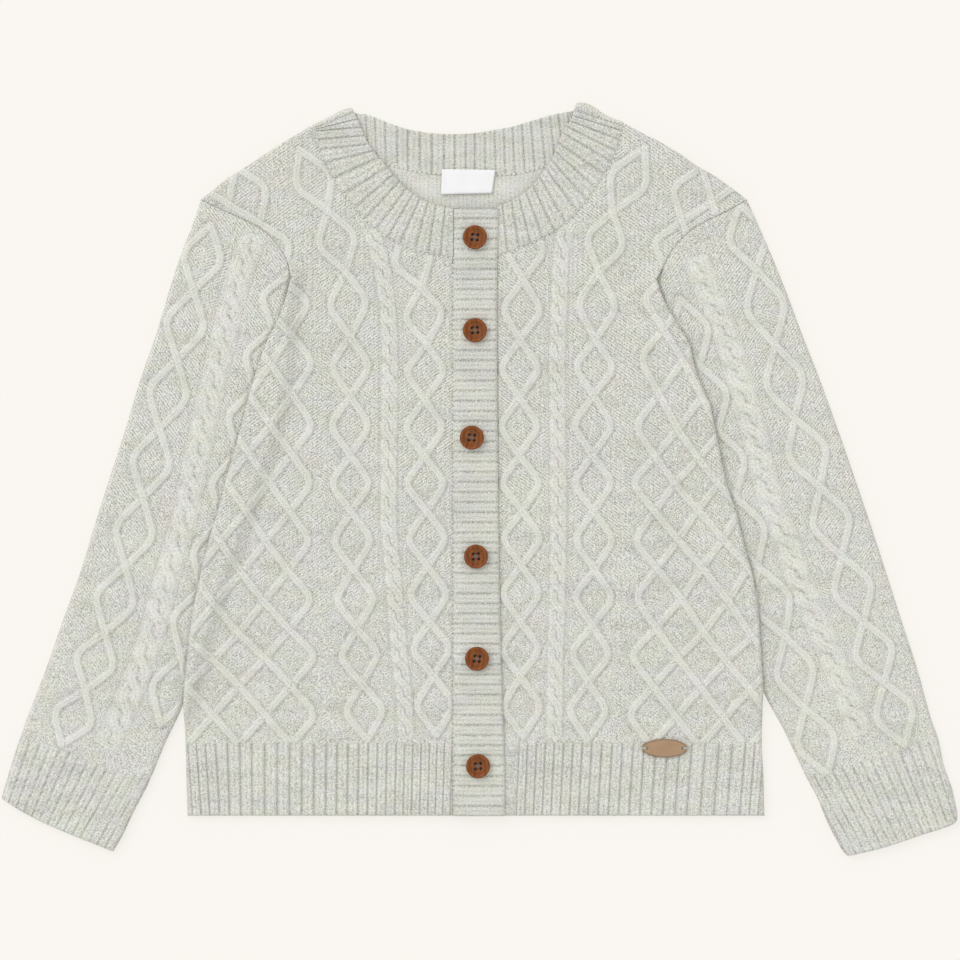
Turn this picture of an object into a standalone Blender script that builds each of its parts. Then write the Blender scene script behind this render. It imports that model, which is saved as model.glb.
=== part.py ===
"""Baby cardigan in aran knit, lying flat, buttoned down the front.

Frame: +X to the wearer's left, +Y towards the neck, +Z up from the surface it lies on.
Lengths are in millimetres and are turned into metres when a mesh is made. In the
tables X counts from the centre front and Y from the hem edge; ORIGIN moves both so
that the cardigan lies centred about the origin with its underside at Z = 0.
"""
import math

import bpy
import numpy as np
from mathutils import Vector
from mathutils.geometry import delaunay_2d_cdt

MM = 0.001
ORIGIN = (1.75, 162.1)

# Cloth
WALL = 1.8              # thickness of the knit
SEAM = 0.3              # gap between two pieces
STRAND_RISE = 0.8       # travelling stitches above the ground
STRAND_FOOT = 1.6       # half width of a travelling stitch at the ground
ROPE_RISE = 1.0         # rope cables above the ground
RIB_RISE = 0.6          # ribs above their grooves
EDGE_ROUND = 1.2        # softened edge of a panel
EDGE_DROP = 0.9

# Levels of the undersides of the layers
BACK_LEVEL = 0.0
FRONT_LEVEL = BACK_LEVEL + WALL + SEAM
PLACKET_LEVEL = FRONT_LEVEL + WALL + SEAM
BODY_LIFT = 2 * WALL + 2 * SEAM     # of the body where it lies over a sleeve
LIFT_FLAT = 0.45        # the lift is full this far beyond the sleeve
LIFT_REACH = 9.0        # and gone this far beyond it

HEM_RIB = 35.4          # height of the hem rib
CUFF_RIBS = 14          # ribs across the face of a cuff
# Rope cables: pitch, sideways and lengthwise reach of a lobe, its half width
ROPE = (9.4, 1.6, 4.4, 1.9)
BROAD_ROPE = (11.2, 3.3, 5.0, 2.8)
FRONT_HALF = 9.2        # half width of a ladder of diamonds on a front
SLEEVE_HALF = 9.7       # half width of a ladder of diamonds on a sleeve

# Placket, buttons, label and tag
PLACKET_SEAM_X = -11.0
PLACKET_TOP = 294.5
PLACKET_HEM = 0.0
PLACKET_RIBS = 60
UNDER_PLACKET_X = -6.5
BUTTON_RADIUS = 5.9
BUTTON_THICK = 2.4
BUTTON_DISH = 4.5
BUTTON_DISH_DEPTH = 0.5
BUTTON_HOLE = 0.6
BUTTON_HOLE_PITCH = 2.2
BUTTON_SIDES = 18
BUTTONS = ((-0.5, 280.5), (-0.5, 235.5), (-2.0, 183.5), (0.0, 126.0), (0.5, 76.5), (1.0, 24.5))
LABEL = ((-16.5, 301.3), (8.7, 301.9), (9.0, 314.6), (-16.6, 314.2))
LABEL_THICK = 1.0
TAG_CENTRE = (91.5, 33.0)
TAG_HALF = (11.2, 4.4)
TAG_THICK = 1.0
TAG_HOLE = 0.8
TAG_HOLE_REACH = 8.8

# Finishes: base colour, roughness, metallic
FINISHES = {
    "knit": ((0.63, 0.63, 0.58), 0.95, 0.0),
    "rib": ((0.61, 0.61, 0.56), 0.95, 0.0),
    "button_wood": ((0.19, 0.065, 0.025), 0.45, 0.0),
    "label_cloth": ((0.87, 0.87, 0.86), 0.85, 0.0),
    "tag_leather": ((0.43, 0.29, 0.18), 0.6, 0.0),
}

# Outlines, one point (x, y) per row
SHOULDER_L = ((-80.3, 334.7), (-87.5, 330.5), (-101.0, 322.0), (-110.0, 316.0), (-119.0, 310.5),
              (-127.0, 304.5), (-133.5, 299.0))
SHOULDER_R = ((72.8, 335.8), (80.5, 331.5), (87.5, 328.0), (98.0, 322.0), (106.5, 316.0),
              (116.0, 310.5), (124.5, 304.5), (131.5, 299.0))
ARMHOLE_L = ((-133.5, 299.0), (-123.0, 294.0), (-112.0, 289.0), (-103.0, 284.0), (-96.0, 277.0),
             (-91.5, 269.0), (-89.5, 261.0))
ARMHOLE_R = ((131.5, 299.0), (122.0, 293.5), (111.5, 288.5), (103.0, 283.0), (96.0, 275.5),
             (91.0, 267.0), (87.5, 260.0))
# Sides of the body, which lie over the sleeves as far down as they touch
UNDERARM_L = ((-89.5, 261.0), (-92.5, 250.5), (-96.5, 239.5), (-102.0, 228.5), (-106.5, 215.5),
              (-110.5, 202.0), (-115.5, 182.5))
UNDERARM_R = ((87.5, 260.0), (91.0, 250.5), (97.0, 239.5), (103.0, 230.0), (105.5, 220.0),
              (108.5, 210.5), (113.5, 200.0))
SIDE_L = ((-115.5, 182.5), (-120.5, 165.5), (-125.0, 148.5), (-130.0, 131.5), (-134.0, 114.5),
          (-137.5, 97.5), (-139.5, 80.5), (-141.0, 66.0), (-141.8, 53.5), (-141.0, 37.0),
          (-140.5, 17.5), (-140.0, 0.0))
SIDE_R = ((113.5, 200.0), (115.5, 189.5), (117.5, 180.0), (121.0, 163.0), (126.5, 146.0),
          (130.0, 131.5), (134.0, 117.0), (136.5, 102.5), (137.5, 88.0), (138.5, 73.0),
          (139.2, 59.5), (138.7, 36.0), (139.5, 19.5), (140.0, 0.0))
TUCK_END_L = 52.0       # Y where the inner fold of a sleeve comes out from under the body
TUCK_END_R = 58.5
SLEEVE_OUTER_L = ((-133.5, 299.0), (-137.5, 287.0), (-142.0, 275.5), (-148.0, 258.0),
                  (-155.0, 234.5), (-163.0, 211.5), (-170.0, 188.0), (-177.5, 165.0),
                  (-185.0, 141.5), (-192.0, 118.5), (-200.5, 95.0), (-208.5, 72.0),
                  (-217.5, 48.5), (-221.5, 37.0), (-225.5, 25.0), (-230.3, 8.5))
SLEEVE_OUTER_R = ((131.5, 299.0), (137.0, 287.0), (144.5, 269.5), (151.5, 252.0), (158.0, 234.5),
                  (167.0, 211.5), (175.5, 188.0), (183.5, 165.0), (191.5, 141.5), (199.0, 118.5),
                  (206.5, 95.0), (214.0, 72.0), (220.5, 48.5), (224.5, 37.0), (227.0, 25.0),
                  (231.0, 13.5), (233.8, 1.0))
SLEEVE_INNER_L = ((-89.5, 261.0), (-92.0, 250.5), (-92.5, 239.5), (-93.7, 228.5), (-95.2, 215.5),
                  (-97.5, 202.0), (-102.0, 182.5), (-107.5, 165.5), (-113.0, 148.5),
                  (-119.5, 131.5), (-125.3, 114.5), (-131.0, 97.5), (-135.5, 80.5),
                  (-139.2, 66.0), (-142.5, 53.0), (-150.0, 37.0), (-155.0, 25.0), (-160.0, 13.5),
                  (-166.0, 2.0), (-171.5, -9.5), (-176.0, -17.3))
SLEEVE_INNER_R = ((87.5, 260.0), (90.5, 250.5), (92.5, 239.5), (94.0, 230.0), (95.0, 220.0),
                  (96.5, 210.5), (98.5, 200.0), (101.0, 189.5), (104.0, 180.0), (109.0, 163.0),
                  (115.0, 146.0), (120.0, 131.5), (125.0, 117.0), (129.0, 102.5), (132.5, 88.0),
                  (136.0, 73.0), (139.8, 59.5), (149.0, 42.5), (154.5, 31.0), (160.0, 19.5),
                  (166.0, 8.0), (171.0, -4.0), (177.0, -15.5), (180.5, -19.5))
CUFF_EDGE_L = ((-230.3, 8.5), (-221.5, 2.8), (-209.5, -3.5), (-195.5, -9.5), (-176.0, -17.3))
CUFF_EDGE_R = ((233.8, 1.0), (231.5, -4.0), (215.5, -9.5), (197.5, -15.5), (180.5, -19.5))
CUFF_TOP_L = ((-221.0, 38.0), (-202.0, 33.0), (-182.5, 24.5), (-168.0, 20.0), (-155.5, 24.5))
CUFF_TOP_R = ((224.0, 38.0), (201.0, 29.5), (181.5, 25.5), (170.0, 20.0), (159.0, 21.5))
NECK_SEAM_L = ((-79.0, 333.3), (-76.5, 324.5), (-72.0, 314.5), (-66.0, 304.5), (-59.0, 295.5),
               (-51.5, 287.0), (-42.5, 280.5), (-33.0, 275.5), (-22.5, 272.5), (-11.3, 270.5))
NECK_SEAM_R = ((71.5, 334.5), (68.5, 323.0), (63.5, 313.5), (57.5, 303.5), (50.5, 294.0),
               (40.5, 285.0), (31.0, 279.5), (21.5, 275.5), (11.4, 271.5))
NECK_FREE_L = ((-59.0, 341.2), (-56.5, 336.0), (-54.0, 330.0), (-50.0, 323.0), (-43.5, 315.5),
               (-37.5, 308.0), (-30.5, 302.0), (-22.5, 297.5), (-11.3, 294.5))
NECK_FREE_R = ((47.5, 342.3), (46.0, 338.0), (41.5, 330.5), (37.5, 320.5), (32.5, 312.5),
               (26.0, 304.5), (19.0, 299.5), (11.4, 295.5))
BACK_SEAM = ((-79.0, 333.3), (-67.0, 327.0), (-55.0, 321.0), (-42.5, 316.0), (-27.0, 312.5),
             (-16.5, 311.5), (-0.5, 311.0), (11.5, 311.0), (21.5, 312.0), (33.5, 315.0),
             (47.0, 320.0), (60.0, 327.5), (71.5, 334.5))
BACK_FREE = ((-59.0, 341.2), (-52.5, 340.3), (-45.0, 337.5), (-37.0, 334.5), (-31.5, 333.0),
             (-22.0, 331.5), (-11.0, 331.0), (-0.5, 331.5), (8.5, 333.0), (17.0, 334.5),
             (27.5, 337.5), (37.5, 340.5), (47.5, 342.3))
# Free edge of the top placket, and with it the seam of the front beneath
PLACKET_EDGE = ((11.0, 294.5), (10.2, 250.0), (10.6, 180.0), (11.6, 105.0), (13.2, 50.0),
                (14.0, 25.0), (14.0, 0.0))

# Hem ribs: (groove number, x)
HEM_GROOVES_L = ((0, -12.6), (3, -23.3), (7, -39.3), (11, -57.2), (14, -72.8), (17, -90.7),
                 (20, -109.1), (23, -125.6), (25, -135.8))
HEM_GROOVES_R = ((0, 19.4), (4, 36.4), (8, 54.3), (11, 69.1), (13, 79.5), (15, 90.7),
                 (17, 102.3), (19, 115.4), (21, 128.0), (23, 137.0))

# Points where the two strands of a ladder of diamonds cross
LADDER_1L = ((-19.0, 39.5), (-20.5, 68.0), (-22.5, 94.0), (-23.5, 121.0), (-24.0, 148.0),
             (-25.0, 174.5), (-25.0, 202.0), (-24.0, 229.0), (-26.5, 256.5), (-35.0, 283.0))
LADDER_2L = ((-52.5, 37.0), (-55.5, 64.5), (-57.5, 91.0), (-59.5, 119.5), (-60.5, 147.5),
             (-61.0, 175.0), (-61.0, 203.5), (-61.0, 232.5), (-63.0, 264.0), (-72.0, 294.0),
             (-85.5, 323.0))
LADDER_1R = ((23.0, 38.5), (21.5, 67.5), (21.5, 94.5), (22.0, 121.5), (22.5, 148.0),
             (21.0, 175.0), (21.0, 203.0), (21.5, 231.0), (23.0, 260.0), (24.5, 289.0))
LADDER_2R = ((54.0, 37.0), (54.5, 65.0), (56.5, 92.5), (57.5, 119.5), (57.0, 148.0),
             (56.5, 175.0), (57.0, 204.0), (58.0, 231.0), (59.5, 264.0), (66.0, 293.0),
             (82.0, 324.0))
OUTER_LADDER_L = ((-128.5, 286.5), (-137.0, 255.0), (-145.0, 221.5), (-153.5, 188.0),
                  (-161.5, 154.5), (-170.0, 121.0), (-180.0, 89.0), (-189.5, 61.0),
                  (-201.0, 34.5))
OUTER_LADDER_R = ((128.0, 296.5), (136.0, 265.0), (145.0, 228.5), (154.5, 193.0),
                  (167.0, 159.5), (177.5, 126.0), (188.0, 94.0), (198.0, 65.0), (208.0, 34.5))
INNER_LADDER_L = ((-90.5, 263.0), (-98.3, 236.0), (-107.0, 207.0), (-114.8, 176.0),
                  (-123.0, 143.0), (-132.8, 110.0), (-143.0, 77.5), (-153.0, 44.5))
INNER_LADDER_R = ((99.0, 250.5), (108.5, 218.5), (117.0, 187.0), (125.5, 154.5),
                  (136.5, 121.0), (150.0, 87.0), (159.5, 52.5), (170.5, 20.0))
# Points where the lattice turns back at its edge towards the front
LATTICE_L = ((-77.1, 49.0), (-77.1, 77.5), (-79.1, 105.2), (-80.0, 133.4), (-79.5, 161.5),
             (-78.6, 189.2), (-78.6, 219.7), (-80.5, 249.5), (-89.5, 278.0), (-101.0, 305.0))
LATTICE_R = ((73.7, 49.0), (74.7, 78.0), (77.1, 106.2), (76.6, 133.4), (75.7, 161.5),
             (77.1, 188.7), (79.5, 222.1), (81.0, 251.2), (85.5, 278.5), (95.0, 305.0))
# Half a diamond of the lattice across: (y, width)
LATTICE_COLUMN_L = ((85.0, 12.6), (150.0, 10.4))
LATTICE_COLUMN_R = ((85.0, 11.7), (150.0, 10.4))
# Centre lines of the rope cables
ROPE_L = ((-33.8, 37.0), (-34.8, 56.5), (-37.3, 80.5), (-39.3, 105.0), (-40.8, 124.0),
          (-42.3, 143.5), (-42.3, 172.5), (-41.8, 228.5), (-43.3, 250.5), (-46.3, 269.5),
          (-51.3, 285.0))
ROPE_R = ((38.0, 37.0), (38.5, 75.5), (39.5, 105.0), (40.0, 153.5), (39.5, 202.0),
          (39.5, 226.0), (40.5, 250.5), (41.5, 274.5), (44.5, 286.5))
SLEEVE_ROPE_L = ((-112.0, 279.5), (-117.0, 255.0), (-123.0, 228.5), (-130.5, 197.0), (-136.0, 170.0),
           (-141.5, 143.5), (-149.5, 117.0), (-155.0, 95.0), (-160.5, 78.0), (-167.0, 61.0),
           (-175.0, 42.5), (-180.0, 33.0))
SLEEVE_ROPE_R = ((111.2, 270.5), (116.7, 250.5), (122.2, 231.0), (127.7, 211.5), (134.1, 189.5),
           (138.5, 170.0), (143.9, 151.0), (151.3, 131.5), (157.7, 112.0), (165.1, 95.0),
           (172.5, 78.0), (179.8, 58.5), (186.5, 39.5))


def unit(vectors):
    return vectors / np.linalg.norm(vectors, axis=1)[:, None]


def smooth(table, spacing):
    """Points about `spacing` apart on the smooth curve through a table."""
    points = np.array(table, float)
    ends = np.vstack([2 * points[0] - points[1], points, 2 * points[-1] - points[-2]])
    fine = []
    for a, b, c, d in zip(ends, ends[1:], ends[2:], ends[3:]):
        for t in np.arange(0.0, 1.0, 0.125):
            fine.append(0.5 * (2 * b + (c - a) * t + (2 * a - 5 * b + 4 * c - d) * t ** 2
                               + (3 * b - a - 3 * c + d) * t ** 3))
    fine.append(points[-1])
    return even(np.array(fine), spacing)


def even(path, spacing):
    lengths = travelled(path)
    count = max(1, round(lengths[-1] / spacing))
    return at_lengths(path, np.linspace(0.0, lengths[-1], count + 1))


def travelled(path):
    return np.concatenate([[0.0], np.cumsum(np.linalg.norm(np.diff(path, axis=0), axis=1))])


def at_lengths(path, where):
    lengths = travelled(path)
    return np.stack([np.interp(where, lengths, path[:, 0]), np.interp(where, lengths, path[:, 1])], 1)


def beside(path, distance):
    """The path moved to its left by a distance, with mitred corners."""
    path = np.array(path, float)
    along = unit(np.diff(path, axis=0))
    normal = np.stack([-along[:, 1], along[:, 0]], 1)
    middle = normal[:-1] + normal[1:]
    middle *= 2.0 / (middle ** 2).sum(1)[:, None]
    return path + distance * np.vstack([normal[:1], middle, normal[-1:]])


def with_crossings(path, value, levels):
    """The path with a point added wherever value(points) passes one of the levels."""
    points = [path[0]]
    for start, stop in zip(path[:-1], path[1:]):
        fine = start + (stop - start) * np.linspace(0.0, 1.0, 41)[:, None]
        found = value(fine)
        for level in levels:
            change = np.nonzero(np.diff(found > level))[0]
            points += [fine[i] for i in change if 0 < i < 39]
        points.append(stop)
    start = np.array(points)
    order = np.argsort(travelled_on(path, start), kind="stable")
    return start[order]


def travelled_on(path, points):
    """How far along the path each of the points on it lies."""
    lengths = travelled(path)
    where = np.zeros(len(points))
    nearest = np.full(len(points), 1e9)
    for start, stop, length in zip(path[:-1], path[1:], lengths):
        run = stop - start
        share = np.clip(((points - start) @ run) / (run @ run), 0.0, 1.0)
        gap = np.linalg.norm(points - start - share[:, None] * run, axis=1)
        better = gap < nearest - 1e-9
        where = np.where(better, length + share * np.linalg.norm(run), where)
        nearest = np.where(better, gap, nearest)
    return where


def segments(paths):
    return np.array([(a, b) for path in paths for a, b in zip(path[:-1], path[1:])], float)


def distance(points, paths):
    """Distance from each point to the nearest of the paths."""
    ends = segments(paths)
    nearest = np.full(len(points), 1e9)
    for start, stop in ends:
        run = stop - start
        share = np.clip(((points - start) @ run) / max(run @ run, 1e-12), 0.0, 1.0)
        gap = np.linalg.norm(points - start - share[:, None] * run, axis=1)
        nearest = np.minimum(nearest, gap)
    return nearest


def inside(points, outline):
    points = np.atleast_2d(points)
    result = np.zeros(len(points), bool)
    following = np.roll(outline, -1, axis=0)
    for (x1, y1), (x2, y2) in zip(outline, following):
        if y1 == y2:
            continue
        crosses = (y1 > points[:, 1]) != (y2 > points[:, 1])
        at = x1 + (points[:, 1] - y1) * (x2 - x1) / (y2 - y1)
        result ^= crosses & (points[:, 0] < at)
    return result


def clipped(path, keep):
    """Parts of a path for which keep(points) holds, found at half millimetre steps."""
    parts, run = [], []
    for start, stop in zip(path[:-1], path[1:]):
        steps = max(1, int(np.linalg.norm(stop - start) / 0.5))
        points = start + (stop - start) * np.linspace(0.0, 1.0, steps + 1)[:, None]
        good = keep(points)
        for i, (point, ok) in enumerate(zip(points, good)):
            if ok:
                first_or_last = i in (0, steps)
                boundary = (i < steps and not good[i + 1]) or (i > 0 and not good[i - 1])
                if first_or_last or boundary:
                    if not run or np.linalg.norm(run[-1] - point) > 0.2:
                        run.append(point)
            elif run:
                parts.append(np.array(run))
                run = []
    if run:
        parts.append(np.array(run))
    return [part for part in parts if len(part) > 1]


def triangulated(outline, lines=(), holes=()):
    """Plan mesh of an outline that keeps the given lines as edges."""
    points, edges = [], []
    for path, closed in [(outline, True)] + [(line, False) for line in lines] \
            + [(hole, True) for hole in holes]:
        first = len(points)
        points += [Vector((float(x), float(y))) for x, y in path]
        edges += [(first + i, first + i + 1) for i in range(len(path) - 1)]
        if closed:
            edges.append((first + len(path) - 1, first))
    found = delaunay_2d_cdt(points, edges, [], 1, 1e-4)
    given = [point for path in (outline, *lines, *holes) for point in path]
    plan = np.array([given[origin[0]] if origin else (v.x, v.y)
                     for v, origin in zip(found[0], found[3])], float)
    faces = np.array([tuple(face) for face in found[2]])
    middle = plan[faces].mean(1)
    good = inside(middle, np.array(outline))
    for hole in holes:
        good &= ~inside(middle, np.array(hole))
    faces = faces[good]
    a, b, c = plan[faces[:, 0]], plan[faces[:, 1]], plan[faces[:, 2]]
    turn = (b - a)[:, 0] * (c - a)[:, 1] - (b - a)[:, 1] * (c - a)[:, 0]
    faces[turn < 0] = faces[turn < 0][:, ::-1]
    return plan, faces


def finish_material(finish):
    """The material of a finish, made when it is first asked for."""
    if finish in bpy.data.materials:
        return bpy.data.materials[finish]
    colour, roughness, metallic = FINISHES[finish]
    material = bpy.data.materials.new(finish)
    material.use_nodes = True
    shader = material.node_tree.nodes["Principled BSDF"]
    shader.inputs["Base Color"].default_value = (*colour, 1.0)
    shader.inputs["Roughness"].default_value = roughness
    shader.inputs["Metallic"].default_value = metallic
    return material


class Solid:
    """Collects the faces of one closed body, joining equal points."""

    def __init__(self, name, finish="knit"):
        self.name = name
        self.finish = finish
        self.index = {}
        self.points = []
        self.faces = []

    def point(self, x, y, z):
        key = (round(float(x), 3), round(float(y), 3), round(float(z), 3))
        if key not in self.index:
            self.index[key] = len(self.points)
            self.points.append((float(x), float(y), float(z)))
        return self.index[key]

    def face(self, corners):
        corners = [self.point(*corner) for corner in corners]
        if len(set(corners)) == 3:
            self.faces.append(tuple(corners))

    def quad(self, a, b, c, d):
        self.face((a, b, c))
        self.face((a, c, d))

    def surface(self, mesh, height, up=True):
        plan, faces = mesh
        level = height(plan)
        for a, b, c in faces:
            corners = [(*plan[i], level[i]) for i in ((a, b, c) if up else (c, b, a))]
            self.face(corners)

    def band(self, first, second, closed=False):
        """Joins two chains of points whose counts may differ."""
        first, second = list(map(tuple, first)), list(map(tuple, second))
        if closed:
            first.append(first[0])
            second.append(second[0])
        i = j = 0
        while i < len(first) - 1 or j < len(second) - 1:
            forward = j == len(second) - 1 or (
                i < len(first) - 1
                and math.dist(first[i + 1], second[j]) <= math.dist(first[i], second[j + 1]))
            if forward:
                self.face((first[i], first[i + 1], second[j]))
                i += 1
            else:
                self.face((first[i], second[j + 1], second[j]))
                j += 1

    def build(self):
        mesh = bpy.data.meshes.new(self.name)
        moved = [((x - ORIGIN[0]) * MM, (y - ORIGIN[1]) * MM, z * MM) for x, y, z in self.points]
        mesh.from_pydata(moved, [], self.faces)
        mesh.validate()
        mesh.materials.append(finish_material(self.finish))
        mesh.update()
        bpy.context.scene.collection.objects.link(bpy.data.objects.new(self.name, mesh))


def joined(*paths):
    """One path from several that follow each other, shared ends kept once."""
    points = []
    for path in paths:
        for point in path:
            if not points or math.dist(points[-1], point) > 0.05:
                points.append((float(point[0]), float(point[1])))
    return np.array(points)


def closed_outline(*paths):
    outline = joined(*paths)
    return outline[:-1] if math.dist(outline[0], outline[-1]) < 0.05 else outline


# Pattern lines ------------------------------------------------------------------------

def ladder(crossings, half):
    """Two strands that swing apart and cross at each point of the table."""
    crossings = np.array(crossings)
    along = unit(np.gradient(crossings, axis=0))
    aside = np.stack([-along[:, 1], along[:, 0]], 1)
    middle = (crossings[:-1] + crossings[1:]) / 2
    swing = half * unit(aside[:-1] + aside[1:])
    strands = []
    for side in (1, -1):
        path = []
        for i, point in enumerate(crossings[:-1]):
            sign = side if i % 2 == 0 else -side
            path += [point, middle[i] + sign * swing[i]]
        strands.append(np.array(path + [crossings[-1]]))
    return strands


def lattice(turns, outward, widths, columns):
    """Strands of a field of diamonds that turns back at the table's points."""
    turns = np.array(turns)
    before = [turns[0] - k * (turns[1] - turns[0]) for k in range(columns, 0, -1)]
    after = [turns[-1] + k * (turns[-1] - turns[-2]) for k in range(1, columns + 1)]
    axis = np.vstack([before, turns, after])
    rows = np.empty((2 * len(axis) - 1, 2))
    rows[::2] = axis
    rows[1::2] = (axis[:-1] + axis[1:]) / 2
    along = unit(np.gradient(rows, axis=0))
    width = np.interp(rows[:, 1], *np.array(widths).T)
    aside = outward * np.stack([along[:, 1], -along[:, 0]], 1) * width[:, None]
    strands = []
    for row in range(0, len(rows), 2):
        for step in (1, -1):
            reach = [row + step * k for k in range(2 * columns) if 0 <= row + step * k < len(rows)]
            strands.append(np.array([rows[r] + aside[r] * k for k, r in enumerate(reach)]))
    return strands


def rope(table, sizes):
    """Lobes of a two-strand rope cable, all leaning the same way."""
    pitch, sideways, lengthwise, _ = sizes
    centre = smooth(table, pitch)
    along = unit(np.gradient(centre, axis=0))
    along[along[:, 1] < 0] *= -1
    aside = np.stack([-along[:, 1], along[:, 0]], 1)
    reach = sideways * aside + lengthwise * along
    return [np.array([p + r, p - r]) for p, r in zip(centre, reach)]


def strand_lines(strands, foot):
    lines = []
    for strand in strands:
        lines += [strand, beside(strand, foot), beside(strand, -foot)]
    return lines


def lobe_lines(lobes, foot):
    lines = []
    for lobe in lobes:
        left, right = beside(lobe, foot), beside(lobe, -foot)
        lines += [lobe, np.array([lobe[0], left.mean(0), lobe[1]]),
                  np.array([lobe[0], right.mean(0), lobe[1]])]
    return lines


def raised(points, strands, foot, rise):
    if not strands:
        return np.zeros(len(points))
    return rise * np.clip(1.0 - distance(points, strands) / foot, 0.0, 1.0)


def hem_stations(knots):
    """X of the grooves and crests of the hem ribs, with their height share."""
    numbers, places = np.array(knots).T
    counts = np.arange(0.0, numbers[-1] + 0.25, 0.5)
    x = np.interp(counts, numbers, places)
    return x, np.where(counts % 1.0 > 0.25, 1.0, 0.0)


# Body ---------------------------------------------------------------------------------

def body_edges():
    left = [smooth(SHOULDER_L, 9.0), smooth(ARMHOLE_L, 5.0), smooth(UNDERARM_L, 7.0),
            smooth(SIDE_L, 12.0)]
    right = [smooth(SHOULDER_R, 9.0), smooth(ARMHOLE_R, 5.0), smooth(UNDERARM_R, 7.0),
             smooth(SIDE_R, 12.0)]
    lift = body_lift(tucks(left, right))
    levels = (0.001, BODY_LIFT - 0.001)
    for side in (left, right):
        side[1:] = [with_crossings(path, lift, levels) for path in side[1:]]
    return left, right


def tucks(left, right):
    """Of each sleeve, the part that lies beneath the body: (side of the body, inner fold)."""
    found = []
    for edges, table, end in ((left, SLEEVE_INNER_L, TUCK_END_L), (right, SLEEVE_INNER_R, TUCK_END_R)):
        edge, fold = joined(edges[2], edges[3]), smooth(table, 11.0)
        found.append((edge[edge[:, 1] > end], fold[fold[:, 1] > end]))
    return found


def body_lift(covered):
    """How far the body is lifted by the sleeves beneath it, as a function of the points."""
    def lift(points):
        away = np.full(len(points), 1e9)
        for edge, fold in covered:
            beneath = inside(points, np.vstack([edge, fold[::-1]]))
            away = np.minimum(away, np.where(beneath, 0.0, distance(points, [edge, fold])))
        return BODY_LIFT * np.clip((LIFT_REACH - away) / (LIFT_REACH - LIFT_FLAT), 0.0, 1.0)
    return lift


def lift_lines(covered, outline):
    """The lines on the body at which its lift starts and ends."""
    loop = np.vstack([outline, outline[:1]])
    lines = []
    for edge, fold in covered:
        middle = np.array((0.0, 150.0))
        for away in (LIFT_FLAT, LIFT_REACH):
            paths = [seam_side(fold, middle, away)]
            for end in (fold[0], fold[-1]):
                ring = circle(end, away, 24 if away > 1.0 else 8)
                paths.append(np.vstack([ring, ring[:1]]))
            for path in paths:
                lines += clipped(path, lambda p, a=away: inside(p, outline)
                                 & (distance(p, [edge, fold]) > a - 0.06)
                                 & (distance(p, [loop]) > 0.3))
    return lines


def seam_side(path, towards, gap=SEAM / 2):
    """The path moved half a seam gap towards a point."""
    path = np.array(path)
    left, right = beside(path, gap), beside(path, -gap)
    middle = len(path) // 2
    nearer = np.linalg.norm(left[middle] - towards) < np.linalg.norm(right[middle] - towards)
    return left if nearer else right


def softened(points, level, edges):
    """A height that drops by EDGE_DROP at the given edges."""
    gap = np.clip(distance(points, edges) / EDGE_ROUND, 0.0, 1.0)
    return level - EDGE_DROP * (1.0 - gap)


def make_back():
    left, right = body_edges()
    body = np.array((0.0, 400.0))
    neck = seam_side(smooth(BACK_SEAM, 7.0), np.array((0.0, 150.0)))
    outline = closed_outline(
        [(-140.0, 0.0), (0.0, 0.0), (140.0, 0.0)], right[3][::-1], right[2][::-1],
        seam_side(right[1], body)[::-1], right[0][-2::-1], neck[::-1], left[0][:-1],
        seam_side(left[1], body), left[2], left[3])
    solid = Solid("back")
    covered = tucks(left, right)
    lift = body_lift(covered)
    mesh = triangulated(outline, lift_lines(covered, outline))
    solid.surface(mesh, lambda p: lift(p) + BACK_LEVEL + WALL)
    solid.surface(mesh, lambda p: lift(p) + BACK_LEVEL, up=False)
    level = lift(outline) + BACK_LEVEL
    for i, j in enumerate(np.roll(np.arange(len(outline)), -1)):
        solid.quad((*outline[i], level[i]), (*outline[j], level[j]),
                   (*outline[j], level[j] + WALL), (*outline[i], level[i] + WALL))
    solid.build()


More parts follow.
